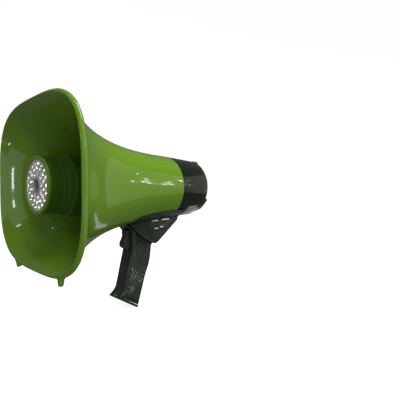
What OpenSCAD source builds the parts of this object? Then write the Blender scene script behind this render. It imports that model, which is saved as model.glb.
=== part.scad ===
// Hand-held electronic game caller: a horn loudspeaker with a lamp in its mouth,
// a rear control panel with a screen, and a pistol grip with a talk trigger.
// Design axis: the horn axis, +Y towards the user, +Z up, +X on the side-key side.

/* [Horn] */
// Width of the mouth over its lip
mouth_w = 240; // [200:1:260]
// Height of the mouth over its lip
mouth_h = 209.4; // [180:0.2:230]
// Length from the barrel joint to the mouth plane
horn_len = 207; // [180:1:230]
// Radius of the horn at the barrel joint
barrel_r = 53.7; // [50:0.1:60]
// Wall of the horn
horn_wall = 2.6; // [2:0.1:3.5]
// Corner squareness of the mouth, where 2 is an ellipse
mouth_square = 3.28; // [2:0.02:4]
// How far the rolled lip stands proud of the horn
lip_r = 2.6; // [2:0.1:3.5]

/* [Lamp] */
// Radius of the lamp head in the mouth
lamp_r = 35.4; // [32:0.1:38]
// Radius of the lens barrel in the middle of the lamp
lens_r = 9; // [7:0.1:10]
// Number of lamp cells in the outer ring
outer_cells = 18; // [14:1:20]

/* [Rear body] */
// Length of the rear case and panel rim behind the joint
rear_len = 68.8; // [66:0.2:72]
// Radius of the rear case at the joint
case_r = 52.4; // [51:0.1:53]
// Radius of the panel rim
rim_r = 49.6; // [48:0.1:51]
// Height of the rear case's centre above the horn axis
rear_lift = 1.3; // [0:0.1:2]
// Depth of the flat panel behind the joint
panel_y = 74.5; // [73:0.1:76]
// Visible screen width
screen_w = 40.8; // [36:0.2:42]
// Visible screen height
screen_h = 30.6; // [27:0.2:32]
// Travel of every key and round button
key_travel = 0.8; // [0.4:0.1:1]

/* [Handle] */
// Half width of the control housing
housing_hw = 20; // [18:0.5:21]
// Half width of the grip
grip_hw = 13.5; // [13:0.1:15]
// Wall of the handle halves
handle_wall = 2.2; // [2:0.1:2.6]
// Width of the trigger
trigger_w = 12; // [11:0.2:15]
// Radius of the cells in the grip
cell_r = 7.1; // [6.8:0.1:7.2]

/* [Hidden] */
$fn = 64;

// Fits
gap = 0.2;
slip = 0.05;
past = 0.5;

// Where the model stands: the grip base is the lowest point, and the box is centred in Y
base_depth = 190;
hood_end = 84;
lip_depth = 1.5;
lip_reach = 3;
lip_front = horn_len - lip_depth + lip_reach;
stand_y = (lip_front - hood_end) / 2;

// Horn flare
side_power = 4.4;
top_power = 3.06;
straight_part = 0.03;
square_power = 1.13;
horn_rings = 20;
horn_sides = 48;

// Moulded feet under the mouth
foot_x = 61;
foot_tip_z = -109.6;

// Lamp head, along Y from the mouth backwards
lamp_front = -204.5;
plate_front = lamp_front + 1.5;
plate_back = plate_front + 6;
cell_pitch_r = [26.2, 20.2, 14.4];
cell_counts = [outer_cells, 14, 9];
cell_mouth_r = [3.5, 3.3, 3];
cell_throat_r = 1.6;
lamp_plate_r = 31.2;

// Panel features as [x, z]
key_x = 26.7;
left_key_z = [21.5, 6.4, -7];
right_key_z = [21.8, 8.4, -4.8];
key_w = 5;
key_h = 4.4;
screen_z = 9.7;
power_at = [26, -22.5];
infrared_at = [-23.5, -19.5];
button_r = 3.5;
low_led_at = [38, 9];
normal_led_at = [38, -5];
infrared_led_at = [-30.5, -22.5];
led_r = 1.5;
panel_wall = 2.4;
case_len = 61.8;
board_y = 63;
board_t = 1.6;
board_r = 43;
switch_top = 69;
switch_w = 3.2;
key_back = 70.2;
key_flange_t = 1.1;

// Microphone hood
hood_z = 44.5;
hood_r = 6.5;
hood_half = 6.5;
capsule_r = 4.85;

// Volume wheel, whose axis leans back by chin_angle
chin_angle = 45;
wheel_r = 16;
wheel_t = 6;
wheel_at = [0, 59.7, -34.2];
wheel_ribs = 36;
wheel_shaft_r = 2.4;

// Side keys as [y, z]
side_key_at = [[-29, -59], [-14, -57.5], [-28, -71.5], [-18.5, -69.5]];
side_key_w = 5.2;
side_key_h = 4.2;
side_key_back = 16.8;

// Blank label on the housing's rear slope, measured up the slope from its lower end
label_w = 37;
label_h = 15.2;
label_from = 31.3;

// Handle
nose_hw = 12.5;
cradle_t = 2.5;
horn_gap = 0.5;
pad_t = 0.8;
boss_r = 3.4;
screw_at = [[-50, -99, grip_hw], [2, -60, housing_hw]];
screw_r = 1.5;
screw_head_r = 3;
screw_head_t = 1.6;
trigger_boss = grip_hw - 1 - trigger_w / 2 - 2 * gap;

// Trigger
trigger_pivot = [-69.5, -72.5];
pivot_r = 1.5;

// Battery door across the sloping base of the grip, hinged at its front edge
base_front = [-97, -167];
base_back = [-63, -190];
base_slope = atan2(base_back[1] - base_front[1], base_back[0] - base_front[0]);
door_len = norm(base_back - base_front);
door_t = 3.4;
hinge_r = door_t / 2;
hinge_pin_r = 0.9;
door_pivot = base_front + hinge_r * [cos(base_slope) - sin(base_slope), sin(base_slope) + cos(base_slope)];
knuckle_x = 9.3;
knuckle_w = 5.6;
grip_lean = 14.5;

// Strap ears, along the strap pin
ear_r = 6.2;
ear_low = -12;
ear_high = 27;
strap_pin_r = 2.6;

// ---------- helpers ----------
module along_y(y) {
    translate([0, y, 0]) rotate([-90, 0, 0]) children();
}

module turned(profile) {
    rotate([-90, 0, 0]) rotate_extrude($fn = 96) polygon(profile);
}

module face_plate(y0, y1) {
    translate([0, y1, 0]) rotate([90, 0, 0]) linear_extrude(y1 - y0) children();
}

module side_slab(x0, x1, outline) {
    translate([x0, 0, 0]) rotate([90, 0, 90]) linear_extrude(x1 - x0) polygon(outline);
}

module cross_rod(y, z, x0, x1, r) {
    translate([x0, y, z]) rotate([0, 90, 0]) cylinder(h = x1 - x0, r = r);
}

module placed() {
    translate([0, stand_y, base_depth]) children();
}

// ---------- horn ----------
function flare(t, power) = straight_part * t + (1 - straight_part) * pow(t, power);
function half_w(t) = barrel_r + (mouth_w / 2 - lip_r - barrel_r) * flare(t, side_power);
function half_h(t) = barrel_r + (mouth_h / 2 - lip_r - barrel_r) * flare(t, top_power);
function square(t) = 2 + (mouth_square - 2) * pow(t, square_power);
function bend(v, n) = sign(v) * pow(abs(v), 2 / n);
function ring(y, t, grow, sides) = [
    for (i = [0 : sides - 1])
        let (a = 360 * i / sides, n = square(t))
        [(half_w(t) + grow) * bend(cos(a), n), y, (half_h(t) + grow) * bend(sin(a), n)]
];
function ring_t(i) = 1 - pow(1 - i / horn_rings, 1.35);
function lip_ring(a) = [lip_depth - horn_len - lip_reach * cos(a), 1, lip_r * sin(a)];

// Each entry is [y, t, growth]: up the outside, round the lip, down the inside
horn_profile = concat(
    [for (i = [0 : horn_rings - 1]) [-(horn_len - 4) * ring_t(i), ring_t(i) * (horn_len - 4) / horn_len, 0]],
    [for (a = [180 : -30 : 30]) lip_ring(a)],
    [[-lip_front, 1, 0.7], [-lip_front, 1, -1.6]],
    [for (i = [horn_rings - 1 : -1 : 0])
        [-(horn_len - 4) * ring_t(i), ring_t(i) * (horn_len - 4) / horn_len, -horn_wall]]
);

module loft_loop(profile, sides) {
    rows = len(profile);
    points = [for (p = profile) each ring(p[0], p[1], p[2], sides)];
    faces = [
        for (r = [0 : rows - 1], i = [0 : sides - 1])
            let (a = r * sides + i, b = r * sides + (i + 1) % sides,
                 c = ((r + 1) % rows) * sides + (i + 1) % sides, d = ((r + 1) % rows) * sides + i)
            each [[a, c, b], [a, d, c]]
    ];
    polyhedron(points = points, faces = faces, convexity = 8);
}

module horn_foot(side) {
    translate([side * foot_x, -horn_len + 3.6, foot_tip_z]) rotate([0, side * 6, 0])
        cylinder(h = 11, r1 = 3, r2 = 4.6);
}

module horn_shell() placed() color("olivedrab") {
    loft_loop(horn_profile, horn_sides);
    difference() {
        union() {
            horn_foot(1);
            horn_foot(-1);
        }
        translate([-mouth_w / 2, -horn_len - 10, lip_r - mouth_h / 2 + 2.6]) cube([mouth_w, 20, 200]);
    }
}

// Solid of the horn's outside, grown by a clearance, used to fit the handle under it
module horn_envelope(clear) {
    rings = 9;
    sides = horn_sides;
    reach = 0.56;
    points = [
        for (k = [0 : rings - 1]) each ring(past - (reach * horn_len + past) * k / (rings - 1),
                                            reach * k / (rings - 1), clear, sides)
    ];
    walls = [
        for (k = [0 : rings - 2], i = [0 : sides - 1])
            let (a = k * sides + i, b = k * sides + (i + 1) % sides)
            each [[a, b + sides, b], [a, a + sides, b + sides]]
    ];
    near = [[for (i = [0 : sides - 1]) i]];
    far = [[for (i = [sides - 1 : -1 : 0]) (rings - 1) * sides + i]];
    polyhedron(points = points, faces = concat(walls, near, far), convexity = 4);
}

// ---------- folded sound path and lamp ----------
module reflector_cup() placed() color("darkolivegreen") {
    turned([[33.2, lamp_front + 3], [lamp_r, lamp_front + 3], [lamp_r, -190], [38, -188], [38, -177],
            [42, -175], [42, -150], [50, -118], [47.8, -118], [39.8, -149], [39.8, -173], [3, -183],
            [3, -185.2], [35.8, -186], [33.2, -191]]);
}

module throat_tube() placed() color("darkolivegreen") {
    turned([[9, -3], [24, -3], [24, 0], [9, 0]]);
    turned([[9, -3], [11.2, -3], [18.2, -160], [16, -160]]);
    intersection() {
        for (a = [90, 210, 330]) rotate([0, a, 0]) translate([14, -171, -1.1]) cube([30, 20, 2.2]);
        difference() {
            along_y(-172) cylinder(h = 22, r = 39.8, $fn = 96);
            along_y(-173) cylinder(h = 24, r = 17.4, $fn = 96);
        }
    }
}

module lamp_bezel() placed() color("olivedrab") {
    turned([[31.3, lamp_front], [34.6, lamp_front], [lamp_r, lamp_front + 0.8], [lamp_r, lamp_front + 3],
            [31.3, lamp_front + 3]]);
}

// Places one cell after another, each with its own mouth radius in $mouth_r
module each_cell() {
    for (k = [0 : len(cell_counts) - 1], i = [0 : cell_counts[k] - 1]) {
        $mouth_r = cell_mouth_r[k];
        rotate([0, 360 * (i + 0.5 * k) / cell_counts[k], 0]) translate([cell_pitch_r[k], 0, 0])
            rotate([-90, 0, 0]) children();
    }
}

module lamp_reflector() placed() color("silver") difference() {
    along_y(plate_front) cylinder(h = plate_back - plate_front, r = lamp_plate_r, $fn = 96);
    along_y(plate_front - past) cylinder(h = 7, r = lens_r + slip);
    translate([0, plate_front, 0]) each_cell() cell_pocket($mouth_r);
}

module cell_pocket(r) {
    translate([0, 0, -past]) cylinder(h = 5, r1 = r + 0.2, r2 = cell_throat_r, $fn = 24);
    translate([0, 0, 4]) cylinder(h = 3, r = cell_throat_r, $fn = 24);
}

module lamp_leds() placed() color("gold") translate([0, plate_back - 2, 0]) each_cell() {
    cylinder(h = 2, r = led_r, $fn = 24);
}

module lamp_board() placed() color("darkgreen") difference() {
    along_y(plate_back) cylinder(h = board_t, r = lamp_plate_r);
    along_y(plate_back - past) cylinder(h = 3, r = lens_r + slip);
}

module lens_barrel() placed() color("gainsboro") {
    turned([[6.4, plate_front - 1.2], [8, plate_front - 1.2], [lens_r, plate_front], [lens_r, plate_back + 3],
            [3, plate_back + 3], [3, plate_back + 1.5], [6.4, plate_back + 1.5]]);
}

module lens_glass() placed() color("midnightblue") {
    along_y(plate_front + 0.5) cylinder(h = 4, r = 6.4);
}

// ---------- driver ----------
module driver_frame() placed() color("dimgray") {
    turned([[9, 0], [50, 0], [50, 3], [26, 3], [26, 9], [36, 9], [36, 12], [23, 12], [23, 3], [9, 3]]);
}

module diaphragm() placed() color("goldenrod") {
    turned([[0, 5.4], [8, 6], [16, 8.6], [19, 9.6], [22.6, 9.6], [22.6, 10.2], [20.4, 10.2], [20.4, 18],
            [19.6, 18], [19.6, 10.2], [16, 9.2], [8, 6.6], [0, 6]]);
}

module driver_magnet() placed() color("darkslategray") {
    turned([[23, 12], [40, 12], [40, 30], [23, 30]]);
}

module driver_yoke() placed() color("gray") {
    turned([[0, 12], [18.4, 12], [18.4, 30], [38, 30], [38, 35], [0, 35]]);
}

// ---------- rear case and panel ----------
module lifted() {
    translate([0, 0, rear_lift]) children();
}

// Thumb relief on the -X side of the panel, open at the top, with a sloping ledge below
module side_relief() {
    intersection() {
        translate([0, 0, -60]) linear_extrude(130)
            polygon([[-31, panel_y + 2], [-31, panel_y - 3], [-51, 51.5], [-70, 51.5], [-70, panel_y + 2]]);
        face_plate(40, panel_y + 3) polygon([[-20, -8], [-32.5, -13.5], [-70, -43], [-70, 70], [-20, 70]]);
    }
}

// Outside radius of the rear case at a depth y
function case_out(y) = case_r + (rim_r + 0.35 - case_r) * y / case_len;

module rear_case() placed() color("darkslategray") difference() {
    lifted() turned([[case_r - 2.4, 0.2], [case_r, 0], [case_out(case_len), case_len],
                     [case_out(case_len) - 2.4, case_len]]);
    side_relief();
    along_y(-1) cylinder(h = 4.2, r = 50.1);
}

upper_face = [[-31, -14], [31, -14], [31, 36.5], [16, 47.5], [-16, 47.5], [-31, 36.5]];
upper_base = [[-33, -14], [33, -14], [33, 38], [17, 50], [-17, 50], [-33, 38]];
lower_face = [[-33, -10], [33, -10], [43.5, -23], [30, -38], [-30, -38], [-43.5, -23]];
lower_base = [[-35, -8], [35, -8], [47.5, -23], [23, -49.5], [-23, -49.5], [-47.5, -23]];
cavity = [[-29.6, 34.8], [-29.6, -10], [-38, -21.5], [-27, -33], [27, -33], [38, -21.5], [29.6, -10],
          [29.6, 34.8], [14.4, 44.8], [-14.4, 44.8]];

module rear_fascia() placed() color([0.14, 0.17, 0.19]) difference() {
    intersection() {
        union() {
            lifted() turned([[0, 62], [rim_r, 62], [rim_r, 67], [rim_r - 1, 68.4], [34, 70.4], [0, 70.4]]);
            hull() {
                face_plate(panel_y - 0.01, panel_y) polygon(upper_face);
                face_plate(68, 68.01) polygon(upper_base);
            }
            hull() {
                face_plate(panel_y - 0.01, panel_y) polygon(lower_face);
                face_plate(63, 63.01) polygon(lower_base);
            }
            face_plate(50, 66) polygon([[-46.5, -8], [-33.5, -8], [-33.5, 33], [-34, 33]]);
            along_y(panel_y - 1) {
                translate([power_at[0], -power_at[1], 0]) cylinder(h = 1.5, r = 4.6);
                translate([infrared_at[0], -infrared_at[1], 0]) cylinder(h = 1.5, r = 4.6);
            }
        }
        lifted() along_y(40) cylinder(h = 50, r = rim_r);
    }
    face_plate(60, panel_y - panel_wall) polygon(cavity);
    lifted() along_y(61.9) difference() {
        cylinder(h = 4.6, r = rim_r - 2.4);
        translate([-70, -100, -1]) cube([36, 200, 9]);
    }
    side_relief();
    face_plate(60, panel_y + 1) {
        translate([-23, screen_z - 17.9]) rectangle(46, 35.8);
        for (z = left_key_z) translate([key_x - key_w / 2 - gap, z - key_h / 2 - gap])
            rectangle(key_w + 2 * gap, key_h + 2 * gap);
        for (z = right_key_z) translate([-key_x - key_w / 2 - gap, z - key_h / 2 - gap])
            rectangle(key_w + 2 * gap, key_h + 2 * gap);
    }
    along_y(60) {
        translate([power_at[0], -power_at[1], 0]) cylinder(h = 20, r = button_r + gap);
        translate([infrared_at[0], -infrared_at[1], 0]) cylinder(h = 20, r = button_r + gap);
        translate([low_led_at[0], -low_led_at[1], 0]) cylinder(h = 20, r = led_r + slip);
        translate([normal_led_at[0], -normal_led_at[1], 0]) cylinder(h = 20, r = led_r + slip);
        translate([infrared_led_at[0], -infrared_led_at[1], 0]) cylinder(h = 20, r = led_r + slip);
        translate([0, -hood_z, 0]) cylinder(h = 20, r = capsule_r + slip);
    }
    translate(wheel_at) rotate([-chin_angle, 0, 0])
        translate([-wheel_r - 1, -20, -wheel_t / 2 - 0.6]) cube([2 * wheel_r + 2, 50, wheel_t + 1.2]);
}

module rectangle(w, h) {
    polygon([[0, 0], [w, 0], [w, h], [0, h]]);
}

module mic_hood() placed() color([0.16, 0.18, 0.2]) difference() {
    hull() {
        along_y(panel_y) {
            translate([-hood_half, -hood_z, 0]) cylinder(h = hood_end - panel_y - 1, r = hood_r, $fn = 32);
            translate([hood_half, -hood_z, 0]) cylinder(h = hood_end - panel_y - 1, r = hood_r, $fn = 32);
            translate([-hood_half, -hood_z, 0]) cylinder(h = hood_end - panel_y, r = hood_r - 1, $fn = 32);
            translate([hood_half, -hood_z, 0]) cylinder(h = hood_end - panel_y, r = hood_r - 1, $fn = 32);
        }
    }
    along_y(panel_y - past) translate([0, -hood_z, 0]) cylinder(h = 6.5, r = capsule_r + slip);
    for (x = [-4.5, 0, 4.5]) translate([x - 0.9, panel_y + 4, hood_z - 3.6]) cube([1.8, 10, 7.2]);
}

module mic_capsule() placed() color("silver") along_y(panel_y - 5) translate([0, -hood_z, 0]) {
    cylinder(h = 8, r = capsule_r);
}

module screen_bezel() placed() color([0.1, 0.13, 0.2]) difference() {
    face_plate(panel_y - 3, panel_y + 0.4) translate([-22.9, screen_z - 17.8]) rectangle(45.8, 35.6);
    face_plate(60, 80) translate([-screen_w / 2, screen_z - screen_h / 2]) rectangle(screen_w, screen_h);
}

module screen_glass() placed() color([0.05, 0.06, 0.08]) {
    face_plate(panel_y - 2.6, panel_y - 0.4)
        translate([-screen_w / 2 + slip, screen_z - screen_h / 2 + slip])
            rectangle(screen_w - 2 * slip, screen_h - 2 * slip);
}

module screen_module() placed() color("silver") {
    face_plate(66.5, panel_y - 3.1) translate([-22.5, screen_z - 17.5]) rectangle(45, 35);
}

module switch_block(at) {
    translate([at[0] - switch_w / 2, at[1] - switch_w / 2]) rectangle(switch_w, switch_w);
}

module main_board() placed() color("darkgreen") {
    difference() {
        along_y(board_y) cylinder(h = board_t, r = board_r);
        translate([-60, 50, -90]) cube([120, 30, 60]);
        translate([-80, 50, -60]) cube([47, 30, 120]);
    }
    face_plate(board_y + board_t, switch_top) {
        for (z = left_key_z) switch_block([key_x, z]);
        for (z = right_key_z) switch_block([-key_x, z]);
        switch_block(power_at);
        switch_block(infrared_at);
    }
    face_plate(board_y - 6, board_y) {
        translate([-24, 8]) rectangle(16, 16);
        translate([2, 4]) rectangle(22, 10);
        translate([-10, -22]) rectangle(14, 12);
    }
}

module square_key(x, z) {
    face_plate(key_back + 0.4, panel_y + 0.9)
        translate([x - key_w / 2, z - key_h / 2]) rectangle(key_w, key_h);
    face_plate(key_back, key_back + key_flange_t)
        translate([x - key_w / 2, z - key_h / 2 - 0.6]) rectangle(key_w, key_h + 1.2);
}

module left_key_1() placed() color([0.16, 0.18, 0.24]) square_key(key_x, left_key_z[0]);
module left_key_2() placed() color([0.16, 0.18, 0.24]) square_key(key_x, left_key_z[1]);
module left_key_3() placed() color([0.16, 0.18, 0.24]) square_key(key_x, left_key_z[2]);
module right_key_1() placed() color([0.16, 0.18, 0.24]) square_key(-key_x, right_key_z[0]);
module right_key_2() placed() color([0.16, 0.18, 0.24]) square_key(-key_x, right_key_z[1]);
module right_key_3() placed() color([0.16, 0.18, 0.24]) square_key(-key_x, right_key_z[2]);

module round_button(at) {
    along_y(key_back) translate([at[0], -at[1], 0]) {
        cylinder(h = panel_y - key_back + 1, r = button_r);
        cylinder(h = key_flange_t, r = button_r + 0.8);
    }
}

module power_button() placed() color([0.13, 0.15, 0.17]) round_button(power_at);
module infrared_button() placed() color([0.13, 0.15, 0.17]) round_button(infrared_at);

module panel_led(at, top) {
    along_y(board_y + board_t) translate([at[0], -at[1], 0]) {
        cylinder(h = top - board_y - board_t - 1, r = led_r);
        translate([0, 0, top - board_y - board_t - 1]) sphere(r = led_r, $fn = 32);
    }
}

module low_led() placed() color("lightgray") panel_led(low_led_at, 71.4);
module normal_led() placed() color("yellow") panel_led(normal_led_at, 71.4);
module infrared_led() placed() color("lightgray") panel_led(infrared_led_at, 75.8);

module on_wheel() {
    translate(wheel_at) rotate([-chin_angle, 0, 0]) children();
}

module volume_wheel() placed() color([0.18, 0.19, 0.2]) on_wheel() difference() {
    union() {
        translate([0, 0, -wheel_t / 2]) cylinder(h = wheel_t, r = wheel_r, $fn = 72);
        translate([0, 0, -9.5]) cylinder(h = 10, r = wheel_shaft_r);
    }
    for (i = [0 : wheel_ribs - 1]) rotate([0, 0, 360 * i / wheel_ribs]) translate([wheel_r + 0.3, 0, -5])
        cylinder(h = 10, r = 0.75, $fn = 16);
}

module volume_pot() placed() color("darkgray") on_wheel() difference() {
    translate([0, 0, -9.6]) cylinder(h = 6, r = 6);
    translate([0, 0, -9.61]) cylinder(h = 7, r = wheel_shaft_r + slip);
}

// Grey strip along the underside of the rear case
module trim_strip() placed() color("gray") lifted() intersection() {
    turned([[case_out(24) + 0.02, 24], [53.5, 24], [52.2, 58], [case_out(58) + 0.02, 58]]);
    face_plate(20, 62) polygon([[0, 0], [-60, -52], [-60, -70], [60, -70], [60, -52]]);
}

// ---------- handle ----------
slope_low = [-26, -89.5];
slope_high = [18, -57];
housing_outline = [[-79, -40], [-79, -57.5], [-71, -67.4], [-60, -77.7], [-47, -85], [-33, -92],
                   slope_low, slope_high, [21, -50], [21, -40]];
nose_outline = [[-88.5, -50], [-88.5, -57], [-79, -63], [-73, -67.2], [-73, -97], [-33, -95], [-33, -50]];
grip_outline = [[-73, -67.2], [-73, -92], [-87, -155], [-95, -163.5], [-94.9, -163.9], [-60.9, -186.9],
                [-57, -184], [-54, -166], [-45, -139], [-36, -123], [-33, -94], [-33, -70], [-60, -62]];
housing_inside = [[-77, -40], [-77, -56.5], [-69.5, -65.6], [-58.8, -75.5], [-46, -82.6], [-34, -89],
                  [-27, -86.8], [15.6, -55.4], [18.4, -49], [18.4, -40]];
nose_inside = [[-85.5, -50], [-85.5, -55.4], [-78, -60.4], [-70, -64.8], [-62, -66], [-62, -95],
               [-38, -95], [-38, -50]];
grip_inside = [[-70.8, -66], [-70.8, -93], [-84.5, -155], [-91.3, -163], [-92.5, -166.4],
               [-63.4, -186.1], [-59.2, -183], [-56.3, -166.5], [-47, -140], [-38.3, -124],
               [-36, -92], [-36, -66]];
cradle_side = [[-84, -60], [-78, -47], [-40, -41], [-10, -40], [22, -40], [22, -60]];
plate_outline = [[-47, -54.9], [3, -54.2], [5, -57.4], [-22.5, -79.5], [-40, -81], [-48, -68]];
plate_ledge = [[-45.5, -55.6], [2, -54.9], [3.4, -57.4], [-22.7, -78.2], [-39.4, -79.7], [-46.8, -67.6]];

module handle_solid(housing_half, nose_half, grip_half, housing, nose, grip) {
    side_slab(-housing_half, housing_half, housing);
    side_slab(-nose_half, nose_half, nose);
    side_slab(-grip_half, grip_half, grip);
}

module handle_body() {
    difference() {
        union() {
            difference() {
                union() {
                    handle_solid(housing_hw, nose_hw, grip_hw, housing_outline, nose_outline, grip_outline);
                    cradle();
                }
                handle_solid(housing_hw - handle_wall, nose_hw - handle_wall, grip_hw - handle_wall,
                             housing_inside, nose_inside, grip_inside);
            }
            for (x = [-grip_hw + 1, trigger_w / 2 + 2 * gap])
                cross_rod(trigger_pivot[0], trigger_pivot[1], x, x + trigger_boss, boss_r);
            for (at = screw_at) cross_rod(at[0], at[1], 1.5 - at[2], at[2] - 1.5, boss_r);
            for (side = [-1, 1]) handle_knuckle(side);
        }
        horn_envelope(horn_gap);
        lifted() along_y(-1) cylinder(h = 30, r = case_r + horn_gap);
        // trigger opening and trigger pivot
        translate([-trigger_w / 2 - 0.3, -80, -99]) cube([trigger_w + 0.6, 11, 32.4]);
        cross_rod(trigger_pivot[0], trigger_pivot[1], -12, 12, pivot_r);
        cross_rod(door_pivot[0], door_pivot[1], -12.5, 12.5, hinge_pin_r);
    }
}

// Wings of the handle that follow the underside of the horn and the case
module cradle() intersection() {
    union() {
        horn_envelope(horn_gap + cradle_t);
        lifted() along_y(-1) cylinder(h = 23, r = case_r + horn_gap + cradle_t);
    }
    side_slab(-45, 45, cradle_side);
}

module on_base() {
    translate([0, base_front[0], base_front[1]]) rotate([base_slope, 0, 0]) children();
}

// Half of the hinge on the grip: a knuckle and the web that carries it
module handle_knuckle(side) {
    from = side * knuckle_x - knuckle_w / 2;
    cross_rod(door_pivot[0], door_pivot[1], from, from + knuckle_w, hinge_r);
    on_base() translate([from + gap, 0.4, hinge_r]) cube([knuckle_w - 2 * gap, 2.6, 4]);
}

module half_space(side) {
    translate([side > 0 ? 0 : -60, -120, -200]) cube([60, 180, 200]);
}

module screw_cuts() {
    for (at = screw_at) {
        cross_rod(at[0], at[1], -at[2] - past, 8, screw_r);
        cross_rod(at[0], at[1], -at[2] - past, -at[2] + screw_head_t, screw_head_r);
    }
}

module handle_left() placed() color([0.14, 0.16, 0.15]) difference() {
    intersection() {
        handle_body();
        half_space(1);
    }
    side_slab(housing_hw - 2, housing_hw + 1, plate_outline);
    side_slab(10, housing_hw + 1, plate_ledge);
    screw_cuts();
}

module handle_right() placed() color([0.14, 0.16, 0.15]) {
    difference() {
        intersection() {
            handle_body();
            half_space(-1);
        }
        screw_cuts();
    }
    strap_ears();
}

// Ears beside the base of the grip, holding the strap pin between them
module strap_line() {
    translate([-17.5, -70, -168]) rotate([-grip_lean, 0, 0]) children();
}

module strap_ears() {
    difference() {
        strap_line() {
            translate([0, 0, 5]) cylinder(h = 8, r = ear_r);
            translate([0, 0, 13]) cylinder(h = ear_high - 13, r1 = ear_r, r2 = 3.4);
            translate([0, 0, ear_low]) cylinder(h = 7, r = ear_r);
        }
        translate([-grip_hw, -120, -200]) cube([40, 100, 120]);
        strap_rod();
    }
}

module strap_rod() {
    strap_line() translate([-1.5, 0, -8]) cylinder(h = 16, r = strap_pin_r);
}

module strap_pin() placed() color("gainsboro") strap_rod();

module side_key_hole(at, grow) {
    side_key_block(at, 10, 30, side_key_w + 2 * grow, side_key_h + 2 * grow);
}

module side_plate() placed() color([0.16, 0.18, 0.17]) difference() {
    side_slab(housing_hw - 1.9, housing_hw + 0.3, plate_outline);
    for (at = side_key_at) side_key_hole(at, gap);
}

module side_key_block(at, x0, x1, w, h) {
    translate([x0, at[0] - w / 2, at[1] - h / 2]) cube([x1 - x0, w, h]);
}

module side_key(at) {
    side_key_block(at, side_key_back + 0.5, housing_hw + 1, side_key_w, side_key_h);
    side_key_block(at, side_key_back, side_key_back + 1, side_key_w + 1, side_key_h + 0.6);
}

module side_key_1() placed() color([0.1, 0.11, 0.11]) side_key(side_key_at[0]);
module side_key_2() placed() color([0.1, 0.11, 0.11]) side_key(side_key_at[1]);
module side_key_3() placed() color([0.1, 0.11, 0.11]) side_key(side_key_at[2]);
module side_key_4() placed() color([0.1, 0.11, 0.11]) side_key(side_key_at[3]);

module side_board() placed() color("darkgreen") {
    side_slab(12.6, 14.2, [[-44, -55], [-3, -55], [-3, -58], [-22, -76], [-39, -77]]);
    for (at = side_key_at) translate([14.2, at[0] - switch_w / 2, at[1] - switch_w / 2])
        cube([1.6, switch_w, switch_w]);
}

module label_plate() placed() color([0.55, 0.58, 0.7]) {
    slope = slope_high - slope_low;
    translate([0, slope_low[0], slope_low[1]]) rotate([-atan2(slope[0], slope[1]), 0, 0])
        translate([-label_w / 2, 0, label_from]) cube([label_w, 0.8, label_h]);
}

module trigger() placed() color([0.12, 0.13, 0.13]) difference() {
    side_slab(-trigger_w / 2, trigger_w / 2,
              [[-74.6, -68.4], [-83.6, -87], [-83, -88.6], [-83.8, -92], [-77.5, -96.5], [-74.5, -96.5],
               [-71.4, -90], [-70.6, -78], [-66, -76.5], [-66, -69.6], [-73.6, -68.4]]);
    cross_rod(trigger_pivot[0], trigger_pivot[1], -20, 20, pivot_r + slip);
}

module trigger_pin() placed() color("silver") {
    cross_rod(trigger_pivot[0], trigger_pivot[1], -12, 12, pivot_r);
}

// Coil of round wire along +Z: each ring of the tube is a small polygon round the helix
module coil(r, wire, turns, length) {
    sides = 6;
    steps = turns * 12;
    points = [
        for (k = [0 : steps], j = [0 : sides - 1])
            let (a = 360 * turns * k / steps, b = 360 * j / sides, rr = r + wire * cos(b))
            [rr * cos(a), rr * sin(a), wire + (length - 2 * wire) * k / steps + wire * sin(b)]
    ];
    walls = [
        for (k = [0 : steps - 1], j = [0 : sides - 1])
            let (a = k * sides + j, b = k * sides + (j + 1) % sides)
            each [[a, b, b + sides], [a, b + sides, a + sides]]
    ];
    caps = [[for (j = [sides - 1 : -1 : 0]) j], [for (j = [0 : sides - 1]) steps * sides + j]];
    polyhedron(points = points, faces = concat(walls, caps), convexity = 6);
}

module trigger_spring() placed() color("silver") {
    translate([0, -70.3, -83]) rotate([-90, 0, 0]) coil(2.6, 0.35, 5, 12.1);
}

module trigger_switch() placed() color([0.15, 0.15, 0.15]) {
    translate([-5, -66.2, -95.5]) cube([10, 12, 9]);
    translate([-5, -58.2, -86.5]) cube([10, 4, 7]);
}

module grip_pad(side) {
    translate([side > 0 ? 0 : -2 * grip_hw - pad_t, 0, 0])
        side_slab(grip_hw, grip_hw + pad_t,
                  [[-69, -83], [-48, -89], [-39, -94], [-41.5, -122], [-50, -140], [-59, -168], [-64, -176],
                   [-84, -160]]);
}

module grip_pad_left() placed() color([0.2, 0.22, 0.21]) grip_pad(1);
module grip_pad_right() placed() color([0.2, 0.22, 0.21]) difference() {
    grip_pad(-1);
    strap_line() translate([0, 0, ear_low]) cylinder(h = ear_high - ear_low, r = ear_r);
}

module backstrap() placed() color([0.13, 0.14, 0.14]) {
    side_slab(-6, 6, [[-33.1, -97], [-36, -123], [-45, -139], [-54, -166], [-56.3, -180], [-55, -180.2],
                      [-52.7, -165.6], [-43.8, -138.4], [-34.7, -122.4], [-31.8, -97]]);
}

module cell_line(offset) {
    translate([0, -62.8, -129.5]) rotate([-grip_lean, 0, 0]) translate([0, offset, -25.2]) children();
}

cell_offsets = [-7.3, 7.3];

module battery_cells() placed() color("royalblue") {
    for (offset = cell_offsets) cell_line(offset) {
        cylinder(h = 49, r = cell_r);
        translate([0, 0, 49]) cylinder(h = 1.4, r = 2.6);
    }
}

module battery_contacts() placed() color("silver") {
    for (offset = cell_offsets) cell_line(offset) translate([-5, -5, 50.5]) cube([10, 10, 0.8]);
}

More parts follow.
